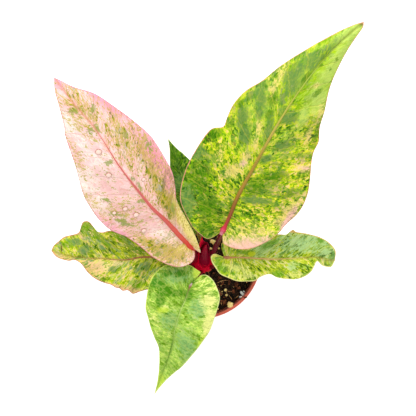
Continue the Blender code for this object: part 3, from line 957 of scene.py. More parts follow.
TALL_LEAF = Leaf(
    name="leaf_tall", slot="leaf_tall_marbled",
    form=LeafForm(
        heading=57.0, camber=3.0, stalk_radius=2.6, rib_radius=2.2,
        stalk=[(7.4, -0.8, 89), (9.6, 1.2, 101), (14.5, 10, 130), (21, 27, 168)],
        rib=[(0, 0, 0), (14, 2, 12), (33, 6, 28), (65, 9, 57), (101, 12, 87), (135, 12, 108), (171, 8, 123),
            (202, -0.5, 132)],
        left=[(-0.6, 2.6, 0.4), (-4, 3.6, 0.8), (-9, 4.6, 1.6), (-13, 8, 4), (-13, 15, 8), (-11, 25, 12),
            (-5, 36, 14), (3, 47, 14), (11, 52, 13), (22, 56, 12), (35, 58.6, 12), (63, 58.9, 12),
            (70.5, 56.9, 11), (77, 49.8, 6), (84, 51, 6), (96, 52.5, 10), (110, 49.7, 12), (123, 42.8, 10),
            (140, 36.6, 8), (156, 28.8, 6), (185, 12.4, 2), (197, 4, 1)],
        right=[(-0.6, 2.8, 0.6), (-4.2, 3.6, 1.6), (-8, 6, 4), (-8.4, 10.5, 6), (-6, 19, 9), (1, 29, 11),
            (13, 37, 12), (26, 42, 12), (35, 43, 8), (52, 46, 12), (68, 43, 14), (98, 27.2, 7),
            (109, 25.2, 3), (118, 19, 6), (130, 14.4, 9), (148, 6.8, 7), (175, 2.3, 3), (192, 2.2, 1),
            (199, 2.2, 0)],
    ),
    marbling=Marbling(
        flecks=TALL_FLECKS, tone=0.47, contrast=0.8, vein=tint(206, 206, 70), vein_cover=0.3, net_cover=0.14,
        rib=tint(120, 130, 40), margins=(tint(236, 164, 126), tint(232, 156, 128)), veins=15,
        haze=tint(104, 138, 30), haze_cover=0.5, islands=0.45, fleck=1.9, freckle=tint(236, 200, 90),
        freckle_cover=0.5,
        washes=washed(mist=(146, 180, 96, 1.2, 0.4, 0.36), butter=(188, 214, 104, 0.3, 0.3, 0.75),
            vivid=(66, 122, 0, 0.7, 0.07, 0.75), cream=(246, 210, 136, 0.9, 0.28, 0.55),
            sage=(92, 132, 62, 0.6, 0.14, 0.82), blush=(242, 188, 174, 0.4, 0.4, 0.95),
            scar=(140, 110, 74, 0.2, 0.2, 0.85)),
    ),
    skin=StalkSkin(stops((0, 160, 0, 34), (0.14, 112, 8, 34), (0.31, 92, 14, 30), (0.381, 120, 14, 44),
        (0.389, 226, 116, 146), (0.4, 240, 160, 180), (0.405, 216, 80, 110), (0.413, 198, 44, 68),
        (0.43, 182, 60, 60), (0.45, 152, 74, 46), (0.48, 148, 94, 38), (0.54, 168, 128, 44),
        (0.63, 164, 140, 46), (0.7, 188, 168, 74), (0.78, 176, 180, 70), (0.88, 158, 186, 72),
        (0.985, 150, 178, 72), (1, 120, 90, 60))),
    marks=marked(
        sage=[(112, 36, 11, 4, 31), (134, 22, 12, 5, 23), (81, 31, 9, 4, 35), (94, 16, 10, 3, 18),
            (72, 4, 4, 3, -17), (6, 43, 14, 7.5, 38), (40, -11, 13, 3, -62), (111, 7, 7, 5, -57),
            (90, -3, 7, 4, -57), (156, 17, 7, 5, -7), (91, 40, 8, 4, 33), (168, 11, 14, 4, -12, 0.7),
            (147, 22, 10, 4, 8, 0.8), (120, 20, 9, 3, 28, 0.8), (47, 56, 7, 5, 3), (108, 44, 5, 3, -7),
            (101, 30, 5, 3, 35)],
        vivid=[(143, 13, 6, 2.5, -7), (139, -1, 5, 2, -17), (121, 38, 2.5, 1.5, 83), (99, 47, 3.5, 3, 23),
            (48, -3, 11, 7, -27), (63, -11, 11, 6, -47), (26, 44, 14, 10, 18), (68, 53, 6, 4, -47),
            (114, -19, 7, 2, 23), (12, 25, 13, 9, 63), (116, 27, 5, 4, 33), (60, -30, 10, 4, -40, 0.8),
            (104, 22, 4, 3, 20), (-5, 15, 9, 5, 60), (167, 1, 1.7, 1.4, 0, 0.8), (158, 1, 1.6, 1.3, 0, 0.75),
            (163.5, 16.5, 2.8, 2), (167.5, 11, 2, 1.5), (163.4, 12.2, 2.8, 1.5, 30), (156.7, 9.2, 2.2, 1.7)],
        cream=[(50, 22, 6, 4.5, -37, 0.9), (54, 38, 7, 2.5, 23, 0.7), (91, 24, 5, 2, 33), (66, 19, 4, 3, -87),
            (107, -15, 7, 2.5, 18), (133, 32, 11, 2.5, 8, 0.8), (128, -12, 6, 2, 18), (78, 18, 5, 1.4, 38),
            (122, 31, 3, 2.5, -57), (121, 21, 4.5, 1.4, 38), (84, -28, 8, 3, -57), (142, 3, 3.5, 1.4, -37),
            (13, -21, 27, 9, -47, 0.62), (34, -37, 8, 6, -17, 0.7), (45, -39, 15, 5, 2, 0.95)],
        butter=[(168, -1, 40, 6, -3), (134, -5, 12, 7, 8), (118, -2, 10, 4, 10), (189, 3, 16, 6, -20)],
        blush=[(-1, -24, 28, 8, -52), (60, 18, 3, 3, 0, 0.8), (40, -42, 16, 2.4, 2, 0.9),
            (85, -29, 5, 1.6, -57, 0.8)],
        scar=[(201, 0, 2.6, 2.2)],
        mist=[(112, 36, 44, 16, 22), (152, 17, 34, 9, -8), (92, -2, 16, 9, -20, 0.8)],
        calm=[(170, 4, 40, 16, -4), (132, -4, 14, 9, 8, 0.7), (10, -26, 26, 8, -47, 0.7),
            (22, 38, 26, 18, 43, -0.4), (50, -22, 26, 18, -40, -0.4), (132, 22, 26, 14, -10, 0.6),
            (92, 34, 30, 18, 25, 0.4)],
        tone=[(53, 22, 28, 11, 18, 0.06), (-6, 14, 10, 7, 60, -0.16), (21, 37, 27, 18, 43, -0.18),
            (66, -18, 30, 16, -27, 0.16), (80, -24, 14, 8, -30, -0.08), (98, 32, 30, 16, 30, 0.08),
            (146, 23, 26, 10, 0, 0.02), (12, -26, 28, 10, -47, 0.12), (40, 26, 25, 6, 44, 0.17),
            (120, -8, 12, 5, 13, 0.16), (165, 1, 22, 6, 0, 0.06), (154, 16, 32, 8, -10, 0.09),
            (100, -8, 12, 9, 0, 0.16), (38, -20, 12, 6, -40, 0.16), (14, 8, 14, 7, 40, -0.16),
            (40, 36, 14, 7, 40, -0.12), (90, 50, 12, 3, 3, 0.18), (48, -33, 12, 6, -37, 0.12),
            (28, -8, 16, 7, -50, -0.1), (88, -22, 10, 4, -50, 0.12)],
    ),
    columns=170, rows=36, knob=0.7, knob_rise=3.0, knob_length=3.0, rib_sink=-0.15,
)

PINK_LEAF = Leaf(
    name="leaf_pink", slot="leaf_pink_marbled",
    form=LeafForm(
        heading=128.0, camber=2.0, stalk_radius=3.9, rib_radius=3.4,
        stalk=[(-3.6, -3.2, 90), (-5, -1.6, 101), (-5.6, 3.4, 120), (-7, 11.5, 142)],
        rib=[(0, 0, 0), (19, 2, 17), (35, 3, 30), (49, 5, 42), (66, 5, 54), (96, 4, 74), (132, 0, 91),
            (160, 1, 100), (186, 0, 105)],
        left=[(-3, 0.4, 1.6), (-7, 2.4, 4), (-10, 6.5, 6), (-10, 13, 8), (-6, 21, 9), (2, 27, 10),
            (15, 33, 10), (31, 36, 9), (45, 40, 8), (59, 47, 8), (75, 48.5, 8), (87, 47, 7.5), (93, 46, 7),
            (101, 43, 5), (120, 33.5, 6), (145, 23, 4), (149, 20, 3), (166, 11.5, 2), (178, 6, 1)],
        right=[(-0.5, 2.2, 1.6), (-4, 2.9, 4.4), (-8.4, 3.2, 6), (-4, 5.4, 10), (4, 8.4, 16), (17, 11.5, 20),
            (32, 14, 21), (45, 17, 18), (52, 22, 14), (66, 29, 13), (82, 32, 12), (100, 33.5, 11),
            (119, 30, 9), (138, 24.5, 7), (156, 18, 5), (170, 8, 3), (181, 2.5, 1)],
    ),
    marbling=Marbling(
        flecks=ROSE_FLECKS, tone=0.74, contrast=0.78, vein=tint(240, 180, 160), rib=tint(238, 150, 136),
        margins=(tint(240, 126, 160), tint(210, 132, 118)), veins=13, haze=tint(250, 218, 214), fleck=2.2,
        plain_fold=1.0, vein_cover=0.3, net_cover=0.14, under=tint(226, 190, 176),
        washes=washed(blush=(230, 178, 170, 0.6, 0.45, 0.4), rosy=(244, 148, 176, 0.3, 0.45, 0.8),
            cream=(255, 241, 226, 0.4, 0.4, 0.6), butter=(255, 238, 144, 0.25, 0.3, 0.95),
            vivid=(178, 162, 16, 1.7, 0.08, 0.74), sage=(132, 150, 62, 1.2, 0.2, 0.8)),
    ),
    skin=StalkSkin(stops((0, 180, 0, 36), (0.2, 126, 0, 28), (0.36, 120, 0, 26), (0.39, 196, 20, 36),
        (0.41, 218, 62, 48), (0.46, 220, 90, 76), (0.54, 212, 96, 90), (0.64, 208, 104, 100),
        (0.75, 206, 110, 104), (0.88, 200, 114, 104), (1, 210, 100, 104)), tint(186, 70, 72)),
    marks=marked(
        sage=[(155, 4, 4, 2.6, 52), (146, -9, 4.5, 2, -28), (134, 4, 4, 2.2, 52), (132, -1, 4, 2, -8),
            (113, -17, 3.5, 1.6, -43), (95, -27, 4, 2.5, -28), (104, 9, 3, 1.6, 62), (80, 32, 4.5, 2, 52),
            (81, 2, 2, 1.6, 52), (61, 8, 3, 1.6, 52), (72, 2, 4, 1.6, -18), (39, -9, 4, 1.6, -28),
            (15, 27, 3, 2, 72), (66, 34, 5, 2, 40), (56, 33, 6, 2.5, 30)],
        vivid=[(38, -14, 14, 3.5, -14, 0.75), (75, -16, 20, 5, -20, 0.75), (48, -8, 22, 4, -8, 0.8),
            (112, -14, 24, 7, -10, 0.72), (8, 18, 16, 10, 50, 0.96), (22, 27, 16, 5, 20, 0.9),
            (38, -11, 12, 3, -14, 0.9), (150, -6, 20, 6, 0, 0.72), (150, 8, 20, 5, 0, 0.66),
            (64, 30, 12, 7, 20, 0.7), (88, 42, 14, 3, 5, 0.72), (120, 28, 16, 3, -18, 0.72),
            (90, -22, 26, 7, -5, 0.66)],
        calm=[(96, 22, 44, 15, 0, 0.6), (36, 18, 20, 8, -20, 0.5), (126, 10, 22, 8, 0, 0.3)],
        tone=[(108, -14, 36, 12, 0, -0.38), (54, 5, 32, 9, 0, -0.3), (50, -9, 24, 5, -8, -0.3),
            (14, 40, 14, 6, 20, 0.16), (62, -17, 28, 8, -16, -0.42), (10, 18, 22, 11, 47, -0.42),
            (26, 27, 18, 7, 20, -0.36), (130, 26, 17, 4, -18, -0.2), (158, 0, 22, 9, 0, -0.3),
            (62, 30, 16, 10, 20, -0.28), (120, 18, 20, 10, 0, 0.12), (96, 44, 24, 3, 5, -0.25)],
        butter=[(16, -9, 26, 6, -10), (4, 6, 12, 5, 50, 0.7)],
        blush=[(69, 22, 22, 14, 22), (97, 25, 10, 8, 2), (46, 26, 14, 8, 10), (8, 20, 16, 9, 50)],
        rosy=[(88, -27, 30, 8, -6), (146, -21, 26, 5, 14), (182, 0, 8, 4, 2), (54, 43, 26, 4, 12, 0.8),
            (115, -32, 14, 4, 10), (60, -20, 12, 4, -30, 0.8)],
        cream=[(108, 34, 12, 7, 20), (148, 14, 9, 6, -8), (97, 38, 8, 6, 52), (24, 12, 14, 6, 32, 0.9),
            (84, 40, 12, 6, 10)],
    ),
    bumps=ovals((97, 39, 5, 4.5, 20, 1.8), (107, 30, 4.5, 4, 20, 0.9), (86, 39, 4, 2.5, 20, -0.7),
        (58, 40, 16, 2.5, 10, -0.6), (52, -8, 16, 2, -10, -0.5)),
    columns=160, rows=34, rib_sink=-0.2, rib_taper=2.8,
)

RIGHT_LEAF = Leaf(
    name="leaf_right", slot="leaf_right_marbled",
    form=LeafForm(
        heading=-2.0, camber=1.5, stalk_radius=2.0, rib_radius=0.9,
        stalk=[(8, -8.3, 87), (10.8, -9.4, 98), (17.5, -4.5, 117), (23.5, 1.5, 134)],
        rib=[(0, 0, 0), (12, 1, 6), (29, 1, 13), (46, 1, 17), (58, 2, 17), (72, 3, 14), (85, 3.6, 7),
            (97, 1, -4), (105.5, 0, -17)],
        left=[(-1, 4, 1), (-3, 9, 3), (-3, 14, 4), (4, 17, 6), (15, 18, 8), (27, 19, 8), (39, 21, 5),
            (49, 24, 1), (56, 24, 1), (59.5, 27, 5), (62, 29, 7), (64.5, 27.2, 6), (70, 26.5, 4), (79, 25, 0),
            (87, 23, -2), (96, 18.5, -2), (104, 10.5, 0)],
        right=[(-4, -1, 1), (-8, -3, 3), (-11, -3, 4), (-13, -1, 5), (-12, 4, 5), (-8, 10, 5), (-4, 15, 5),
            (3, 18, 5), (12, 21, 4), (21, 21, 2), (29, 20, 1), (34, 16, 3), (42, 13, 5), (49, 16, 3),
            (57, 17, 0), (66, 17, -2), (75, 14, -3), (80.6, 9.2, -1), (83.6, 3.7, 1), (85.4, 0, 3),
            (87.2, -0.3, 3), (89, 2, 3), (93, 4.5, 0), (101, 5.5, 0)],
    ),
    marbling=Marbling(
        flecks=GREEN_FLECKS, tone=0.5, contrast=0.84, vein=tint(206, 216, 100), rib=tint(190, 170, 80),
        margins=(tint(234, 226, 146), tint(236, 200, 120)), margin_width=1.5, veins=11,
        haze=tint(120, 166, 76), fleck=2.6, streaks=0.3,
        washes=washed(sage=(174, 212, 144, 1.3, 0.35, 0.82), vivid=(84, 150, 0, 0.6, 0.07, 0.75),
            cream=(228, 228, 130, 0.9, 0.15, 0.6), butter=(196, 210, 20, 0.2),
            blush=(232, 176, 110, 0.2, 0.2, 0.8)),
    ),
    skin=StalkSkin(stops((0, 130, 10, 34), (0.2, 104, 22, 34), (0.37, 110, 50, 50), (0.39, 150, 104, 84),
        (0.41, 176, 120, 84), (0.43, 196, 128, 84), (0.5, 222, 164, 110), (0.75, 226, 180, 120),
        (1, 216, 180, 110))),
    marks=marked(
        sage=[(71, 17, 24, 8, 2), (37, 11, 12, 6, 32), (63, -5, 5, 3, 2, 0.8), (94, 9, 8, 5, 2)],
        vivid=[(50, -12, 6, 2.5, 2), (41, 14, 8, 2.5, 27), (20, 6, 8, 2, 2), (102, 5, 4, 4, 2),
            (-3, -8, 7, 3.5, -50), (8, -14, 6, 2, -20, 0.8), (88, 20, 3, 2.5, -40)],
        cream=[(12, -9, 11, 4, -13), (20, -16, 11, 2.5, 2), (64, -13, 7, 2, 2)],
        butter=[(25, 5, 3.5, 2.2, 2)],
        blush=[(66, 27.6, 9, 1.4, 2)],
        calm=[(84, 16, 14, 8, 2, 0.6)],
        tone=[(35, -6, 42, 10, 2, 0.1), (0, 0, 8, 6, -58, 0.1), (60, 12, 34, 12, 2, 0.09)],
    ),
    bumps=ovals((55, 18, 12, 1.2, 52), (50, 14, 12, 1, 52, -0.6), (22, 9, 12, 1.2, 40, 0.7)),
    quilting=0.2, sweep=2.2,
)

FRONT_LEAF = Leaf(
    name="leaf_front", slot="leaf_front_marbled",
    form=LeafForm(
        heading=-108.0, camber=3.0, stalk_radius=2.0, rib_radius=0.65,
        stalk=[(1.4, -11.5, 87), (0.8, -14.6, 98), (-4, -19, 115), (-8.5, -22.5, 130)],
        rib=[(0, 0, 0), (9, 0, 5), (17, 0, 8), (26, -1, 10), (38, -1, 10), (50, 0, 7), (62, 2, 2),
            (76, 2, -6), (98, 1, -19), (116, 0, -29)],
        left=[(-2, 2, 1), (-6, 4, 3), (-10, 7, 4), (-12, 12, 5), (-10, 18, 6), (-6, 23, 7), (4, 30, 7),
            (15, 31, 6), (25, 31, 6), (36, 30.5, 6), (47, 27.5, 6), (57, 24.5, 5), (65, 21.5, 5),
            (78, 16.5, 3), (86, 12, 2), (96, 7, 1), (105, 3.5, 1)],
        right=[(-3.8, -1.3, 1.6), (-9.4, -3.4, 4.6), (-12.2, -5.6, 6.2), (-12.9, -5.6, 6.4),
            (-14.5, -0.4, 6.8), (-16.2, 6, 7), (-16, 13, 6), (-13, 22, 5), (-7, 30, 5), (1, 35, 6),
            (12, 36.5, 7), (27, 34.5, 6), (34, 32.8, 6), (42, 28, 5), (50, 23, 5), (58, 17, 5), (67, 10, 3),
            (76, 6.6, 2), (90, 3, 1), (101, 1.2, 1)],
    ),
    marbling=Marbling(
        flecks=FRONT_FLECKS, tone=0.5, contrast=0.66, vein=tint(208, 222, 112), rib=tint(140, 172, 80),
        margins=(tint(200, 218, 100), tint(226, 234, 152)), margin_width=1.4, veins=12,
        haze=tint(120, 160, 60), fleck=2.3, streaks=0.9, vein_cover=0.3, net_cover=0.28,
        washes=washed(sage=(116, 164, 100, 0.7, 0.25, 0.7), vivid=(62, 126, 0, 0.5, 0.1, 0.92),
            cream=(228, 226, 140, 0.5, 0.2, 0.8), butter=(186, 212, 60, 0.3, 0.2, 0.8),
            blush=(206, 150, 80, 0.1)),
    ),
    skin=StalkSkin(stops((0, 150, 10, 34), (0.2, 120, 40, 40), (0.34, 150, 120, 96), (0.38, 186, 150, 146),
        (0.405, 206, 180, 178), (0.42, 150, 100, 76), (0.46, 128, 112, 50), (0.5, 186, 202, 120),
        (1, 206, 222, 140)), tint(130, 110, 60)),
    marks=marked(
        sage=[(-3, -15, 13, 7, -72), (7, -30, 4, 4, -72), (38, -8, 8, 8, -72), (20, 14, 8, 9, -72),
            (56, 14, 8, 15, -52)],
        vivid=[(9, -29, 7.5, 4.5, -82), (21, -22.5, 8, 4.5, 8), (13, -12, 10, 3, -67), (11, 2, 5, 3.5, -12),
            (62, 1, 18, 0.9, 3, 0.75), (12, -20, 6, 3, -60), (-6, -12, 6, 3, -72), (-2, -24, 5, 3, -60)],
        cream=[(10, 22, 7, 6, -72), (28, 27, 14, 5, 6), (28, -15, 6, 3, -72, 0.6)],
        butter=[(-11, 3, 5, 4), (47, 26, 9, 3, -12, 0.7), (31, -17, 6, 2.5, -72), (104, 1, 12, 4, -7)],
        blush=[(114, 0, 2.5, 1.5, -12)],
        calm=[(72, 8, 34, 18, 0, 0.5)],
        tone=[(3, 12, 10, 7, -72, 0.15), (42, -20, 22, 4, 38, 0.15), (70, 8, 26, 7, 0, 0.1),
            (4, -16, 20, 14, -60, -0.13), (14, 0, 14, 8, 0, -0.13), (74, 12, 26, 12, 0, -0.08),
            (-11, 3, 5, 4, 0, 0.4)],
    ),
    quilting=0.22, knob=0.7, knob_rise=2.5,
)

LEFT_LEAF = Leaf(
    name="leaf_left", slot="leaf_left_marbled",
    form=LeafForm(
        heading=176.0, camber=1.5, stalk_radius=1.9, rib_radius=1.2,
        stalk=[(-3.7, -7.8, 86), (-6.6, -9, 96), (-10.5, -6.5, 107), (-13.5, -2.5, 116)],
        rib=[(0, 0, 0), (14, -2, 4), (32, -2, 7), (43, -1, 8), (54, 2, 8), (66, 3, 7), (77, 3, 5), (89, 4, 2),
            (97, 4, -1), (109, 4, -6), (131, 0, -15)],
        left=[(-1, 2, 1), (-2, 6, 2), (1, 13, 3), (9, 20, 3), (18, 24, 3), (26, 27, 2), (34, 29, 2),
            (42, 32, 0), (48, 34.4, -3), (53, 31, 2), (58, 32, -1), (61, 29.6, 1), (64, 29.4, 2), (69, 27, 1),
            (76, 25.6, 0), (84, 22.6, 1), (92, 17.5, -1), (97, 11.5, 3), (101, 8, 4), (106, 6, 4),
            (112, 7.6, 1), (118, 7.4, 0), (125, 5.4, 0)],
        right=[(-1, 2, 1), (0, 8, 3), (5, 14, 5), (15, 19, 6), (26, 21, 6), (39, 22, 5), (51, 24, 4),
            (63, 25, 3), (75, 24, -1), (81, 22, 1), (86, 23, 5), (90, 28, 8), (94.5, 31.8, 8), (99, 31, 8),
            (101, 27, 6), (103.5, 20.5, 2), (112, 17, -1), (118, 15, 0), (124, 10, 0), (129, 5, 0)],
    ),
    marbling=Marbling(
        flecks=GREEN_FLECKS, tone=0.49, contrast=0.66, vein=tint(214, 208, 100), rib=tint(180, 150, 80),
        margins=(tint(206, 142, 108), tint(216, 146, 114)), veins=12, haze=tint(136, 168, 112),
        haze_cover=0.65, fleck=2.2, freckle_cover=0.5, margin_width=1.8,
        washes=washed(vivid=(90, 148, 0, 0.6, 0.07, 0.75), cream=(238, 212, 156, 1.4, 0.18, 0.7),
            blush=(226, 176, 136, 1.3, 0.3, 0.7), sage=(100, 138, 76, 0.6, 0.15, 0.8),
            scar=(96, 60, 20, 0.1, 0.2, 0.9)),
    ),
    skin=StalkSkin(stops((0, 130, 16, 30), (0.36, 120, 50, 40), (0.42, 156, 84, 58), (0.7, 160, 92, 64),
        (0.85, 176, 120, 84), (1, 200, 150, 100))),
    marks=marked(
        vivid=[(97, -26, 7, 5, 79), (87, -19, 9, 3, -26), (112, -9, 9, 4, 14), (67, -20, 9, 2.5, -26),
            (47, -8, 8, 2, -21), (45, 25, 6, 4, 4), (76, -12, 10, 1.5, -26), (58, -14, 10, 1.5, -26)],
        sage=[(97, -4, 5.5, 4.5, 4), (106, -11, 6, 3.5, 4), (68, 13, 3.5, 3, 4), (37, 7, 4, 4, 4),
            (45, 12, 4, 2, 30)],
        cream=[(80, 10, 9, 4, -11), (66, 6, 6, 2.5)],
        blush=[(87, 13, 9, 5, -26), (51, 31, 14, 3, -11), (118, 5, 12, 1.6, -8, 0.8),
            (104, -20, 12, 2, -40, 0.8)],
        scar=[(120.4, -3.8, 4.8, 0.8, -86)],
        tone=[(120, -1, 11, 7, 4, 0.24), (61, 16, 28, 11, -11, 0.08), (78, -10, 24, 8, -16, -0.04)],
    ),
    columns=140, quilting=0.2,
)

BACK_LEAF = Leaf(
    name="leaf_back", slot="leaf_back_green",
    form=LeafForm(
        heading=107.0, camber=1.5, stalk_radius=1.9, rib_radius=0.9,
        stalk=[(1.7, 1.6, 90), (1.5, 4.6, 101), (1.2, 13, 116), (-1.5, 25.5, 128)],
        rib=[(0, 0, 0), (14, 0, 8), (29, 0, 16), (43, -1, 23), (58, -1, 30), (73, -1, 36), (90, 0.8, 42)],
        left=[(-1, 4, 1), (3, 11, 2), (13, 15, 3), (25, 15, 3), (37, 14, 3), (49, 12, 3), (61, 9, 3),
            (68, 6, 2), (75, 4, 2), (82, 2, 1)],
        right=[(-4, 2, 1), (-3, 9, 2), (5, 15, 3), (17, 19, 3), (30, 18, 3), (43, 17, 3), (55, 16, 3),
            (65, 13, 2), (74, 8, 2), (80, 4, 1)],
    ),
    marbling=Marbling(
        flecks=BACK_FLECKS, tone=0.4, contrast=0.75, vein=tint(150, 180, 80), rib=tint(70, 110, 30),
        margins=(tint(170, 190, 120), tint(190, 205, 150)), veins=10, haze=tint(80, 124, 50), fleck=1.7,
        vein_cover=0.25,
        washes=washed(sage=(84, 126, 66, 0.6, 0.2, 0.75), vivid=(56, 108, 0, 0.6, 0.07, 0.6)),
    ),
    skin=StalkSkin(stops((0, 130, 30, 30), (0.2, 130, 120, 50), (0.45, 130, 134, 50),
        (1, 110, 146, 60)), tint(90, 80, 30)),
    marks=marked(
        sage=[(48, 0, 8, 15, -17)],
        vivid=[(72, 1, 8, 6, -7), (60, 6, 5, 4)],
    ),
    columns=100, rows=20, quilting=0.2,
)

LEAVES = (TALL_LEAF, PINK_LEAF, RIGHT_LEAF, FRONT_LEAF, LEFT_LEAF, BACK_LEAF)


@dataclass
class Dew:
    """Beads of water on the pink leaf, each at its place on the blade with its radius."""

    leaf: Leaf
    beads: Sequence[Place] = (
        (116, 10, 3), (96, 16, 2.8), (65, 24, 2.5), (68, 34, 1.9), (55, 20, 2.8), (40, 24, 2.6),
        (62, 44, 1.2), (33, 17, 1.1), (75, -5, 2), (65, 37, 1.4), (172, -3, 1), (98, 37, 1),
        (130, 12, 0.8), (84, 20, 0.7))
    squash: Place = (1.0, 0.9, 0.4)
    lift: float = 0.35
    lift_share: float = 0.05
    drop: float = 400.0
    segments: int = 24

    def build(self, surface: BVHTree) -> None:
        """Sets the beads on a blade.

        Args:
            surface: The blade's middle surface.
        """
        joint, along, across = self.leaf.plan()
        down = Vector((0.0, 0.0, -1.0))
        bm = bmesh.new()
        run = bm.verts.layers.float.new("run")
        for forward, sideways, radius in self.beads:
            over = joint + along * forward + across * sideways - down * self.drop
            spot, normal, _, _ = surface.ray_cast(over, down)
            up = normal if normal.z > 0.0 else -normal
            made = bmesh.ops.create_uvsphere(bm, u_segments=self.segments, v_segments=self.segments // 2,
                                             radius=radius)["verts"]
            # run goes from the bead's top, painted bright as a highlight, to its foot, painted dim as shade.
            for vertex in made:
                vertex[run] = 1.0 - vertex.co.z / radius
            bmesh.ops.scale(bm, vec=self.squash, verts=made)
            bmesh.ops.rotate(bm, cent=(0, 0, 0), matrix=up.to_track_quat("Z", "Y").to_matrix(), verts=made)
            bmesh.ops.translate(bm, vec=spot + up * (self.lift + self.lift_share * radius), verts=made)
        make_piece("dew_beads", bm, [WaterBead().material()], self.leaf.slot)


@dataclass
class Pot:
    """The nursery pot: a tapered cup with a stepped collar, a lip that turns down and drain holes."""

    height: float = 95.0
    radius: float = 60.0
    base_radius: float = 43.5
    shoulder_radius: float = 54.5
    collar_radius: float = 57.4
    wall: float = 1.0
    collar_height: float = 12.0
    ledge_rise: float = 1.6
    lip_drop: float = 5.0
    lip_round: float = 1.3
    lip_foot: float = 2.2
    base_round: float = 1.5
    base_rise: float = 0.9
    foot_radius: float = 36.0
    segments: int = 160
    drain_holes: int = 8
    drain_radius: float = 4.0
    drain_circle: float = 30.0
    drain_sides: int = 28

    def profile(self) -> list[Spot]:
        """The wall's outline.

        Returns:
            Radius and height pairs, from under the base round to its inside.
        """

        def arc(radius: float, height: float, size: float, start: int) -> list[Spot]:
            """A quarter turn round a centre, in steps of 15 degrees."""
            turns = [math.radians(start + 15 * i) for i in range(7)]
            return [(radius + size * math.cos(a), height + size * math.sin(a)) for a in turns]

        top, wall = self.height, self.wall
        shoulder = top - self.collar_height
        ledge = shoulder + self.ledge_rise
        lip, inner, inside_base = self.radius - wall, self.collar_radius - wall, self.base_radius - wall
        return [
            (0, self.base_rise),
            (self.foot_radius - 1.2, self.base_rise),
            (self.foot_radius, 0.0),
            *arc(self.base_radius - self.base_round, self.base_round, self.base_round, -90),
            (self.shoulder_radius - 0.4, shoulder - 1.2),
            (self.shoulder_radius, shoulder),
            (self.collar_radius - 0.5, ledge),
            (self.collar_radius, ledge + 0.7),
            (self.collar_radius + wall / 2, top - self.lip_foot),
            (lip, top - self.lip_foot),
            (lip, top - self.lip_drop),
            (self.radius, top - self.lip_drop),
            *arc(self.radius - self.lip_round, top - self.lip_round, self.lip_round, 0),
            *arc(inner + wall, top - wall, wall, 90),
            (inner, ledge + 0.5),
            (self.shoulder_radius - wall, shoulder + 0.5),
            (inside_base, wall + 1.2),
            (inside_base - 1.0, wall + 0.6),
            (0, wall + 0.6),
        ]

    def cut_drains(self, pot: bpy.types.Object) -> None:
        """Drills the drain holes through the base.

        Args:
            pot: The pot's piece.
        """
        drills = bmesh.new()
        for hole in range(self.drain_holes):
            angle = math.tau * (hole + 0.5) / self.drain_holes
            drill = bmesh.ops.create_cone(drills, cap_ends=True, segments=self.drain_sides,
                                          radius1=self.drain_radius, radius2=self.drain_radius,
                                          depth=8 * self.wall)
            place = (self.drain_circle * math.cos(angle), self.drain_circle * math.sin(angle), 0.0)
            bmesh.ops.translate(drills, vec=place, verts=drill["verts"])
        bmesh.ops.scale(drills, vec=(MM, MM, MM), verts=drills.verts)
        tool = placed("drain_drills", meshed("drain_drills", drills))
        step = pot.modifiers.new("drains", "BOOLEAN")
        step.operation, step.object = "DIFFERENCE", tool
        graph = bpy.context.evaluated_depsgraph_get()
        result = bpy.data.meshes.new_from_object(pot.evaluated_get(graph))
        pot.modifiers.clear()
        pot.data = result
        bpy.data.objects.remove(tool, do_unlink=True)

    def build(self) -> None:
        """Builds and dresses the pot."""
        bm = turned(self.profile(), self.segments)
        inside = bm.verts.layers.float.new("inside")
        for vertex in bm.verts:
            radius = vertex.co.xy.length
            inner = radius < self.collar_radius + 0.1 and vertex.co.z > self.wall
            vertex[inside] = float(inner and vertex.normal.xy.dot(vertex.co.xy) <= 0.02)
            # The inner edge of the lip's top is darkened as inside too, with peat splashes and painted shade.
            if vertex.co.z > self.height - 0.5:
                vertex[inside] = float(radius < self.collar_radius - 0.1)
        pot = make_piece("nursery_pot", bm, [ClayPlastic().material()], "pot_plastic", "pot", 35.0)
        self.cut_drains(pot)


@dataclass(frozen=True)
class Lumps:
    """Rough lumps of one shape, which is their half sizes at a size of 1.

    A number of them are scattered, in sizes between two, and others lie where the photograph shows them.
    """

    shape: Place
    detail: int
    count: int = 0
    sizes: Spot = (1.0, 1.0)
    shown: Sequence[Place] = ()
    heights: Sequence[float] = ()


@dataclass(frozen=True)
class Litter:
    """One kind of loose matter on the soil."""

    piece: str
    finish: Crumb
    sharp: float
    lots: Sequence[Lumps]


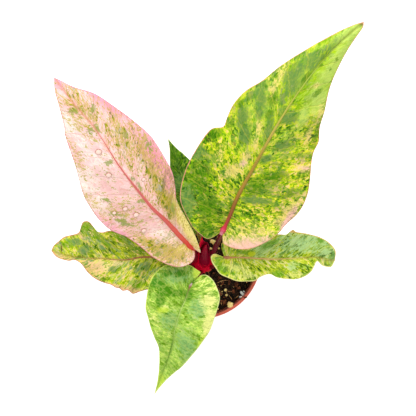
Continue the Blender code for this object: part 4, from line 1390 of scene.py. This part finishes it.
LITTER = (
    Litter("peat_crumbs", Crumb("peat_crumb", tint(10, 7, 6), tint(64, 42, 30), 1.3, 0.4, 0.1), 50.0,
           [Lumps((1.3, 1.0, 0.7), detail=1, count=620, sizes=(0.5, 1.5))]),
    Litter("bark_chips", Crumb("bark_chip", tint(50, 24, 14), tint(140, 78, 50), 1.8, 0.4, 0.15), 30.0, [
        Lumps((1.5, 0.8, 0.4), detail=1, count=120, sizes=(1.0, 2.4)),
        Lumps((1.2, 0.7, 0.45), detail=2, shown=[
            (32.9, -33.4, 2.2), (28.9, -25.1, 2), (24.1, -46, 2.6), (20.5, -44, 2.4),
            (35.5, -27, 2.6), (38, -30.5, 2)]),
        Lumps((1.4, 0.5, 0.5), detail=2, shown=[(44.2, -38.8, 1.5)], heights=[95.0])]),
    Litter("perlite_grains", Crumb("perlite", tint(240, 196, 104), tint(255, 240, 178), 0.8, 0.2, 0.1), 60.0, [
        Lumps((1.0, 0.9, 0.8), detail=2, count=60, sizes=(0.4, 1.2)),
        Lumps((1.0, 0.9, 0.8), detail=3, shown=[
            (25, -32.3, 1.5), (26, -37.2, 1.1), (29.4, -46.2, 2.9), (28.6, -45.4, 1.8),
            (12.4, 15.4, 2.4), (9.6, 8.4, 1.3), (17.6, -51, 0.9)],
            heights=[88, 88, 94, 90, 88.4, 88, 87.6])]),
    Litter("white_flakes", Crumb("mineral_flake", tint(216, 216, 220), WHITE, 0.7, 0.25, 0.2), 50.0, [
        Lumps((1.3, 0.8, 0.6), detail=3, shown=[
            (41.2, -35.2, 1.7), (42.6, -36.9, 1.4), (39.9, -38.8, 1.2), (43, -33.6, 0.8)],
            heights=[90.6] * 4)]),
)


@dataclass
class Soil:
    """Peat, bark, perlite and root fibres, heaped in the pot up to just under its rim."""

    top: float = 86.0
    bump: float = 1.5
    crumble: float = 0.75
    radius: float = 55.4
    neck_radius: float = 52.9
    base_radius: float = 41.9
    floor: float = 1.9
    shoulder: float = 84.0
    rings: int = 62
    segments: int = 170
    fibres: int = 46
    fibre_rings: int = 9
    fibre_radius: float = 0.22
    shown_fibre_radius: float = 0.38
    seed: int = 12
    crown_radius: float = 11.0
    shown_fibres: Sequence[Sequence[Spot]] = (
        ((16.3, -25.6), (22, -23.2), (27.9, -22.7)), ((28.4, -37.6), (30.4, -40), (31.6, -42.4)),
        ((34, -40.6), (36.2, -39.2), (38, -37.2)), ((18.5, -41.5), (20.4, -44), (21.2, -47.5)),
        ((18, -30), (19.5, -34.5), (18.4, -39)))

    def height(self, x: float, y: float) -> float:
        """The height of the soil at a place in the pot.

        Args:
            x: The place's distance to the right.
            y: Its distance to the back.

        Returns:
            The height over the ground.
        """
        waves = ((40.0, 14.0), (40.0, 5.0), (7.0, 2.1), (3.0, 1.1))
        coarse, fine, crumb, dust = (noise.noise(Vector((x, y, z)) / size) for z, size in waves)
        return self.top + self.bump * (coarse + 0.6 * fine) + self.crumble * (crumb + 0.5 * dust)

    def heap(self) -> None:
        """The body of the soil, with a crumbly top."""
        profile = [(0.0, self.floor), (self.base_radius - 1.5, self.floor),
                   (self.base_radius, self.floor + 1.5), (self.neck_radius, self.shoulder),
                   (self.radius, self.shoulder + 1.6)]
        profile += [(self.radius * (1.0 - ring / self.rings), self.top) for ring in range(self.rings + 1)]
        bm = turned(profile, self.segments)
        for vertex in bm.verts:
            if vertex.co.z > self.top - 0.1 and vertex.co.xy.length < self.radius - 0.5:
                vertex.co.z = self.height(vertex.co.x, vertex.co.y)
        finish = Crumb("peat", tint(14, 9, 7), tint(58, 38, 28), 1.6, 0.5, 0.1)
        make_piece("peat_heap", bm, [finish.material()], "soil", "potting_soil", 80.0)

    def spots(self, count: int, draw: random.Random) -> Iterator[Spot]:
        """Random places on the soil, clear of the crown.

        Args:
            count: How many to give.
            draw: The source of chance.

        Yields:
            A place in the pot.
        """
        while count:
            radius = (self.radius - 2.5) * math.sqrt(draw.random())
            angle = draw.uniform(0.0, math.tau)
            spot = (radius * math.cos(angle), radius * math.sin(angle))
            if math.dist(spot, CROWN_CENTRE) > self.crown_radius + 1.5:
                count -= 1
                yield spot

    def lump(self, bm: Shape, lumps: Lumps, row: Place, height: float | None, draw: random.Random) -> None:
        """Adds one rough lump.

        Args:
            bm: What it is added to.
            lumps: The lot that it is one of.
            row: Its place in the pot, and its size.
            height: Its height, or None where it lies on the soil.
            draw: The source of chance.
        """
        x, y, grown = row
        size = Vector(lumps.shape) * grown
        made = bmesh.ops.create_icosphere(bm, subdivisions=lumps.detail, radius=1.0)["verts"]
        shift = Vector((draw.uniform(-50, 50), draw.uniform(-50, 50), 0.0))
        for vertex in made:
            vertex.co *= 1.0 + 0.45 * noise.noise(vertex.co * 1.6 + shift)
        bmesh.ops.scale(bm, vec=size, verts=made)
        turn = Matrix.Identity(3)
        for axis, most in (("Y", 0.5), ("X", 0.4)):
            turn = turn @ Matrix.Rotation(draw.uniform(-most, most), 3, axis)
        turn = Matrix.Rotation(draw.uniform(0.0, math.tau), 3, "Z") @ turn
        bmesh.ops.rotate(bm, cent=(0, 0, 0), matrix=turn, verts=made)
        z = self.height(x, y) + 0.35 * size.z if height is None else height
        bmesh.ops.translate(bm, vec=(x, y, z), verts=made)

    def litter(self) -> None:
        """The loose matter on the soil, one piece for each kind."""
        draw = random.Random(self.seed)
        for kind in LITTER:
            bm = bmesh.new()
            for lumps in kind.lots:
                for x, y in self.spots(lumps.count, draw):
                    self.lump(bm, lumps, (x, y, draw.uniform(*lumps.sizes)), None, draw)
                heights = lumps.heights or [None] * len(lumps.shown)
                for row, height in zip(lumps.shown, heights):
                    self.lump(bm, lumps, row, height, draw)
            make_piece(kind.piece, bm, [kind.finish.material()], "soil", sharp=kind.sharp)

    def roots(self) -> None:
        """Thin root fibres that lie over the soil."""
        draw = random.Random(self.seed + 1)
        routes = list(self.shown_fibres)
        for spot in self.spots(self.fibres, draw):
            heading = draw.uniform(0.0, math.tau)
            length = draw.uniform(3.0, 8.0)
            bend = draw.uniform(-0.35, 0.35) * length
            step = Vector((math.cos(heading), math.sin(heading))) * length / 2
            middle, aside = Vector(spot), Vector((-step.y, step.x)).normalized() * bend
            routes.append([middle - step, middle + aside, middle + step])
        strands = bmesh.new()
        rings = self.fibre_rings
        for number, route in enumerate(routes):
            if any(math.hypot(*point) > self.radius - 2.0 for point in route):
                continue
            shown = number < len(self.shown_fibres)
            lift = draw.uniform(0.2, 0.7) + 0.8 * shown
            path = [Vector((p.x, p.y, self.height(p.x, p.y) + lift))
                    for p in stations([(*point, 0.0) for point in route], rings)]
            thick = self.shown_fibre_radius if shown else self.fibre_radius
            strand = meshed("strand", tube(path, blend_radii([0.12, thick, 0.1], rings), 5,
                                           [ring / (rings - 1) for ring in range(rings)]))
            strands.from_mesh(strand)
            bpy.data.meshes.remove(strand)
        tan = Crumb("root_fibre", tint(140, 92, 60), tint(220, 170, 120), 1.5, 0.1, 0.2)
        make_piece("root_fibres", strands, [tan.material()], "soil")

    def build(self) -> None:
        """Builds and dresses the soil and all that lies on it."""
        self.heap()
        self.litter()
        self.roots()


@dataclass
class Crown:
    """The stubby crimson rootstock that the stalks grow from."""

    foot: float = 62.0
    outline: Sequence[Spot] = ((5.5, 62.0), (7.0, 72.0), (7.8, 80.0), (9.2, 86.0), (10.1, 90.0), (9.5, 92.8),
                               (8, 95))
    dome: Sequence[Spot] = ((6.0, 96.6), (4.0, 97.4), (2.0, 97.8), (0.0, 98.0))
    rings: int = 60
    segments: int = 96
    ridges: int = 7
    ridge_depth: float = 0.1
    roughness: float = 0.15
    inset: float = 0.3
    core: float = 3.0

    def build(self) -> None:
        """Builds and dresses the crown."""
        side = stations([(radius, 0.0, height) for radius, height in self.outline], self.rings)
        bm = turned([(0.0, self.foot), *((p.x, p.z) for p in side), *self.dome], self.segments)
        run = bm.verts.layers.float.new("run")
        for vertex in bm.verts:
            angle = math.atan2(vertex.co.y, vertex.co.x)
            climb = (vertex.co.z - 80.0) / 20.0
            ridge = math.cos(self.ridges * angle + climb * 2.0) * self.ridge_depth
            rough = self.roughness * noise.noise(vertex.co / 4.0)
            radius = vertex.co.xy.length
            if radius > self.core:
                vertex.co.xy *= 1.0 + (ridge + rough - self.inset) / radius
            front = max(0.0, -math.sin(angle + 0.2)) * min(1.0, radius / 6.0)
            vertex[run] = min(1.0, max(0.0, 0.3 + 0.3 * climb + 0.35 * front))
        bmesh.ops.translate(bm, vec=(*CROWN_CENTRE, 0.0), verts=bm.verts)
        skin = ShootSkin(stops((0, 100, 10, 22), (0.28, 184, 2, 32), (0.5, 222, 0, 42), (0.85, 232, 8, 46),
                               (1, 238, 60, 54)), tint(150, 0, 30), 0.15)
        make_piece("crown_stock", bm, [skin.material("crown")], "crown_red", "crown")


@dataclass
class Shoot:
    """The next leaf's rolled spear, and the pointed sheath that half wraps it."""

    spear_path: Sequence[Place] = (
        (3.8, -6, 95), (4, -3, 103), (4, 1.6, 112), (4.5, 6.4, 121), (5.1, 10.2, 128),
        (6, 13.4, 133.5))
    spear_radii: Sequence[float] = (4.6, 5.9, 5.7, 4.8, 3.0, 0.7)
    sheath_rails: Sequence[Sequence[Place]] = (
        ((5, -15.4, 92.4), (5.2, -13.4, 96), (4.8, -10.6, 99), (2.4, -9.2, 100.6), (0.5, -6, 103.6),
         (-0.2, -1.2, 109.5), (-0.2, 6, 122), (0.8, 13.5, 135), (2.4, 21, 148)),
        ((-3, -12.8, 92.2), (-2.6, -11.4, 96), (-2.2, -8.8, 99.8), (-1.8, -6, 103.3),
         (-1.2, -1.6, 109.8), (-0.8, 6.2, 122), (0.4, 13.8, 135), (2.3, 21.2, 147)),
        ((-7.6, -6.8, 92), (-6.8, -6.2, 96), (-5.2, -5.2, 99.8), (-3.4, -3.6, 103.5),
         (-1.9, -0.2, 110), (-1.3, 6.8, 122), (0.2, 14.4, 135), (2.2, 21.3, 146)),
        ((2.3, 4.8, 92), (2.6, 4.2, 96), (3, 4, 100), (3.4, 4.8, 104), (3.9, 6.8, 110),
         (4.3, 10.8, 119), (4.4, 14, 127), (4.4, 16.4, 133)),
        ((12, -6.8, 92), (11.6, -6.2, 96), (10.8, -5.2, 99.8), (10.2, -3.6, 103.5), (9.8, -0.2, 110),
         (9.6, 5.2, 119), (9, 11, 128), (7.4, 15.6, 136)),
        ((9.6, -13.2, 92.2), (9.3, -11.7, 96), (9, -8.8, 99.8), (9, -5.8, 103.3), (9.3, -1.6, 109.8),
         (9.3, 5, 119), (8.8, 10.8, 127.6), (7.3, 15.4, 135.6)),
        ((2.6, -13.6, 92.4), (2.9, -11.6, 96), (4.4, -9.1, 99), (6.6, -8.6, 100.6), (8, -6, 103.6),
         (8.8, -1.2, 109.5), (9, 4.8, 119), (8.6, 10.6, 127.2), (7.2, 15.2, 135.2)))
    thickness: float = 0.8
    rings: int = 56
    rows: int = 40
    sides: int = 28
    seam_turns: float = 0.6
    seam_depth: float = 0.12

    def spear(self) -> None:
        """The spear, whose rolled edge shows as a seam that winds up it."""
        path = stations(self.spear_path, self.rings)
        climbs = [ring / (self.rings - 1) for ring in range(self.rings)]
        bm = tube(path, blend_radii(self.spear_radii, self.rings), self.sides, climbs)
        run = bm.verts.layers.float["run"]
        for vertex in bm.verts:
            ring = round(vertex[run] * (self.rings - 1))
            out = vertex.co - path[ring]
            angle = math.atan2(out.y, out.x) + math.tau * self.seam_turns * vertex[run]
            vertex.co = path[ring] + out * (1.0 - self.seam_depth * ((angle / math.tau) % 1.0))
        skin = ShootSkin(stops((0, 230, 0, 46), (0.12, 206, 0, 46), (0.3, 140, 0, 38), (0.6, 132, 0, 38),
                               (0.8, 148, 2, 40), (1, 176, 20, 50)), tint(104, 0, 32), 0.25)
        make_piece("spear", bm, [skin.material("spear")], "spear_maroon", "new_leaf_spear")

    def sheath(self) -> None:
        """The sheath, bright at its pointed tips, with a painted highlight low on its east flank and painted
        shade over its back and right towards the top.
        """
        rails = [stations(rail, self.rings) for rail in self.sheath_rails]
        hoops = [stations(hoop, self.rows + 1) for hoop in zip(*rails)]
        bm = bmesh.new()
        run = bm.verts.layers.float.new("run")
        for vertex, ring, row in gridded(bm, self.rings - 1, self.rows):
            side = vertex.co.y
            vertex.co = hoops[ring][row]
            climb = ring / (self.rings - 1)
            # How far east a point lies, for a painted highlight low on that flank.
            east_highlight = min(1.0, max(0.0, vertex.co.x / 10.0))
            bright = 0.52 + 0.26 * abs(2.0 * climb - 1.0) ** 1.5 + 0.04 * side**4
            # run is lifted low on the east flank as a painted highlight, and lowered over the back and right
            # towards the top as painted shade.
            vertex[run] = bright + 0.3 * east_highlight * (1.0 - climb) ** 2 - 0.75 * max(0.0, side + 0.3) * climb**0.9
        front, normal = min(((face.calc_center_median(), face.normal) for face in bm.faces),
                            key=lambda pair: abs(pair[0].x - 3.0) + pair[0].z)
        # The outer skin is the first one, so the faces have to look away from the crown.
        if normal.y * (front.y - CROWN_CENTRE[1]) < 0.0:
            bmesh.ops.reverse_faces(bm, faces=bm.faces)
        outer = ShootSkin(stops((0, 112, 0, 32), (0.35, 184, 0, 42), (0.6, 230, 0, 50), (0.88, 238, 20, 56),
                                (1, 240, 96, 76)), tint(180, 0, 40), 0.1)
        inner = ShootSkin(stops((0, 130, 2, 34), (0.5, 184, 6, 44), (0.75, 220, 16, 52), (1, 226, 60, 60)),
                          tint(110, 10, 24), 0.3)
        skins = [outer.material("sheath"), inner.material("sheath_inside")]
        sheath = make_piece("sheath", bm, skins, "sheath_red", "shoot_sheath")
        thicken(sheath, self.thickness)

    def build(self) -> None:
        """Builds and dresses the shoot."""
        self.spear()
        self.sheath()


@dataclass
class Studio:
    """A pale floor, soft light from over the leaf tips, and the camera that looks straight down."""

    eye: Place = (0.0078, 0.0483, 1.195)
    field_at_rim: float = 0.4059
    rim_height: float = 0.095
    sensor: float = 36.0
    far: float = 20.0
    floor_size: float = 6.0
    floor_glow: float = 0.5
    sky: float = 0.8
    key_place: Place = (-0.25, 1.0, 1.7)
    key_aim: Place = (0.0, 0.0, 0.15)
    key_size: float = 1.3
    key_power: float = 26.0

    def floor(self) -> None:
        """The floor, which isn't part of the plant."""
        bm = bmesh.new()
        bmesh.ops.create_grid(bm, x_segments=4, y_segments=4, size=self.floor_size / 2)
        recipe = Recipe("studio_floor", gloss=0.1)
        recipe.shader["Emission Color"].default_value = WHITE
        recipe.shader["Emission Strength"].default_value = self.floor_glow
        paint = recipe.mix(recipe.cloud(recipe.place(), 400.0), tint(252, 252, 252), WHITE)
        floor = placed("studio_floor", meshed("studio_floor", bm))
        floor.data.materials.append(recipe.finish(paint, 0.9))
        floor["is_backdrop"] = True

    def lights(self) -> None:
        """A bright even sky, and one large soft lamp."""
        world = bpy.data.worlds.new("studio_sky")
        world.use_nodes = True
        backdrop = world.node_tree.nodes["Background"].inputs
        backdrop["Color"].default_value, backdrop["Strength"].default_value = WHITE, self.sky
        bpy.context.scene.world = world
        lamp = bpy.data.lights.new("key_lamp", "AREA")
        lamp.shape, lamp.size, lamp.energy = "DISK", self.key_size, self.key_power
        key = placed("key_lamp", lamp)
        key.location = self.key_place
        aim = Vector(self.key_aim) - Vector(self.key_place)
        key.rotation_euler = aim.to_track_quat("-Z", "Y").to_euler()

    def camera(self) -> None:
        """The camera, over the pot, as the photograph has it."""
        lens = bpy.data.cameras.new("camera")
        lens.sensor_width, lens.clip_end = self.sensor, self.far
        lens.lens = self.sensor * (self.eye[2] - self.rim_height) / self.field_at_rim
        eye = placed("camera", lens)
        eye.location = self.eye
        bpy.context.scene.camera = eye
        bpy.context.scene.view_settings.view_transform = "Standard"

    def build(self) -> None:
        """Sets up the studio."""
        self.floor()
        self.lights()
        self.camera()


def write_sizes() -> None:
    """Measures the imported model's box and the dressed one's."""
    boxes = {"cad": CAD_BOX, "visual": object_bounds()}
    {name: [list(corner) for corner in box] for name, box in boxes.items()}


def main() -> None:
    """Builds every piece of the plant, and the studio round it."""
    logging.basicConfig(level=logging.INFO, format="%(name)s: %(message)s")
    for part in (Pot(), Soil(), Crown(), Shoot()):
        part.build()
    for leaf in LEAVES:
        surface = leaf.build()
        if leaf is PINK_LEAF:
            Dew(leaf).build(surface)
    Studio().build()
    write_sizes()


if __name__ == "__main__":
    main()
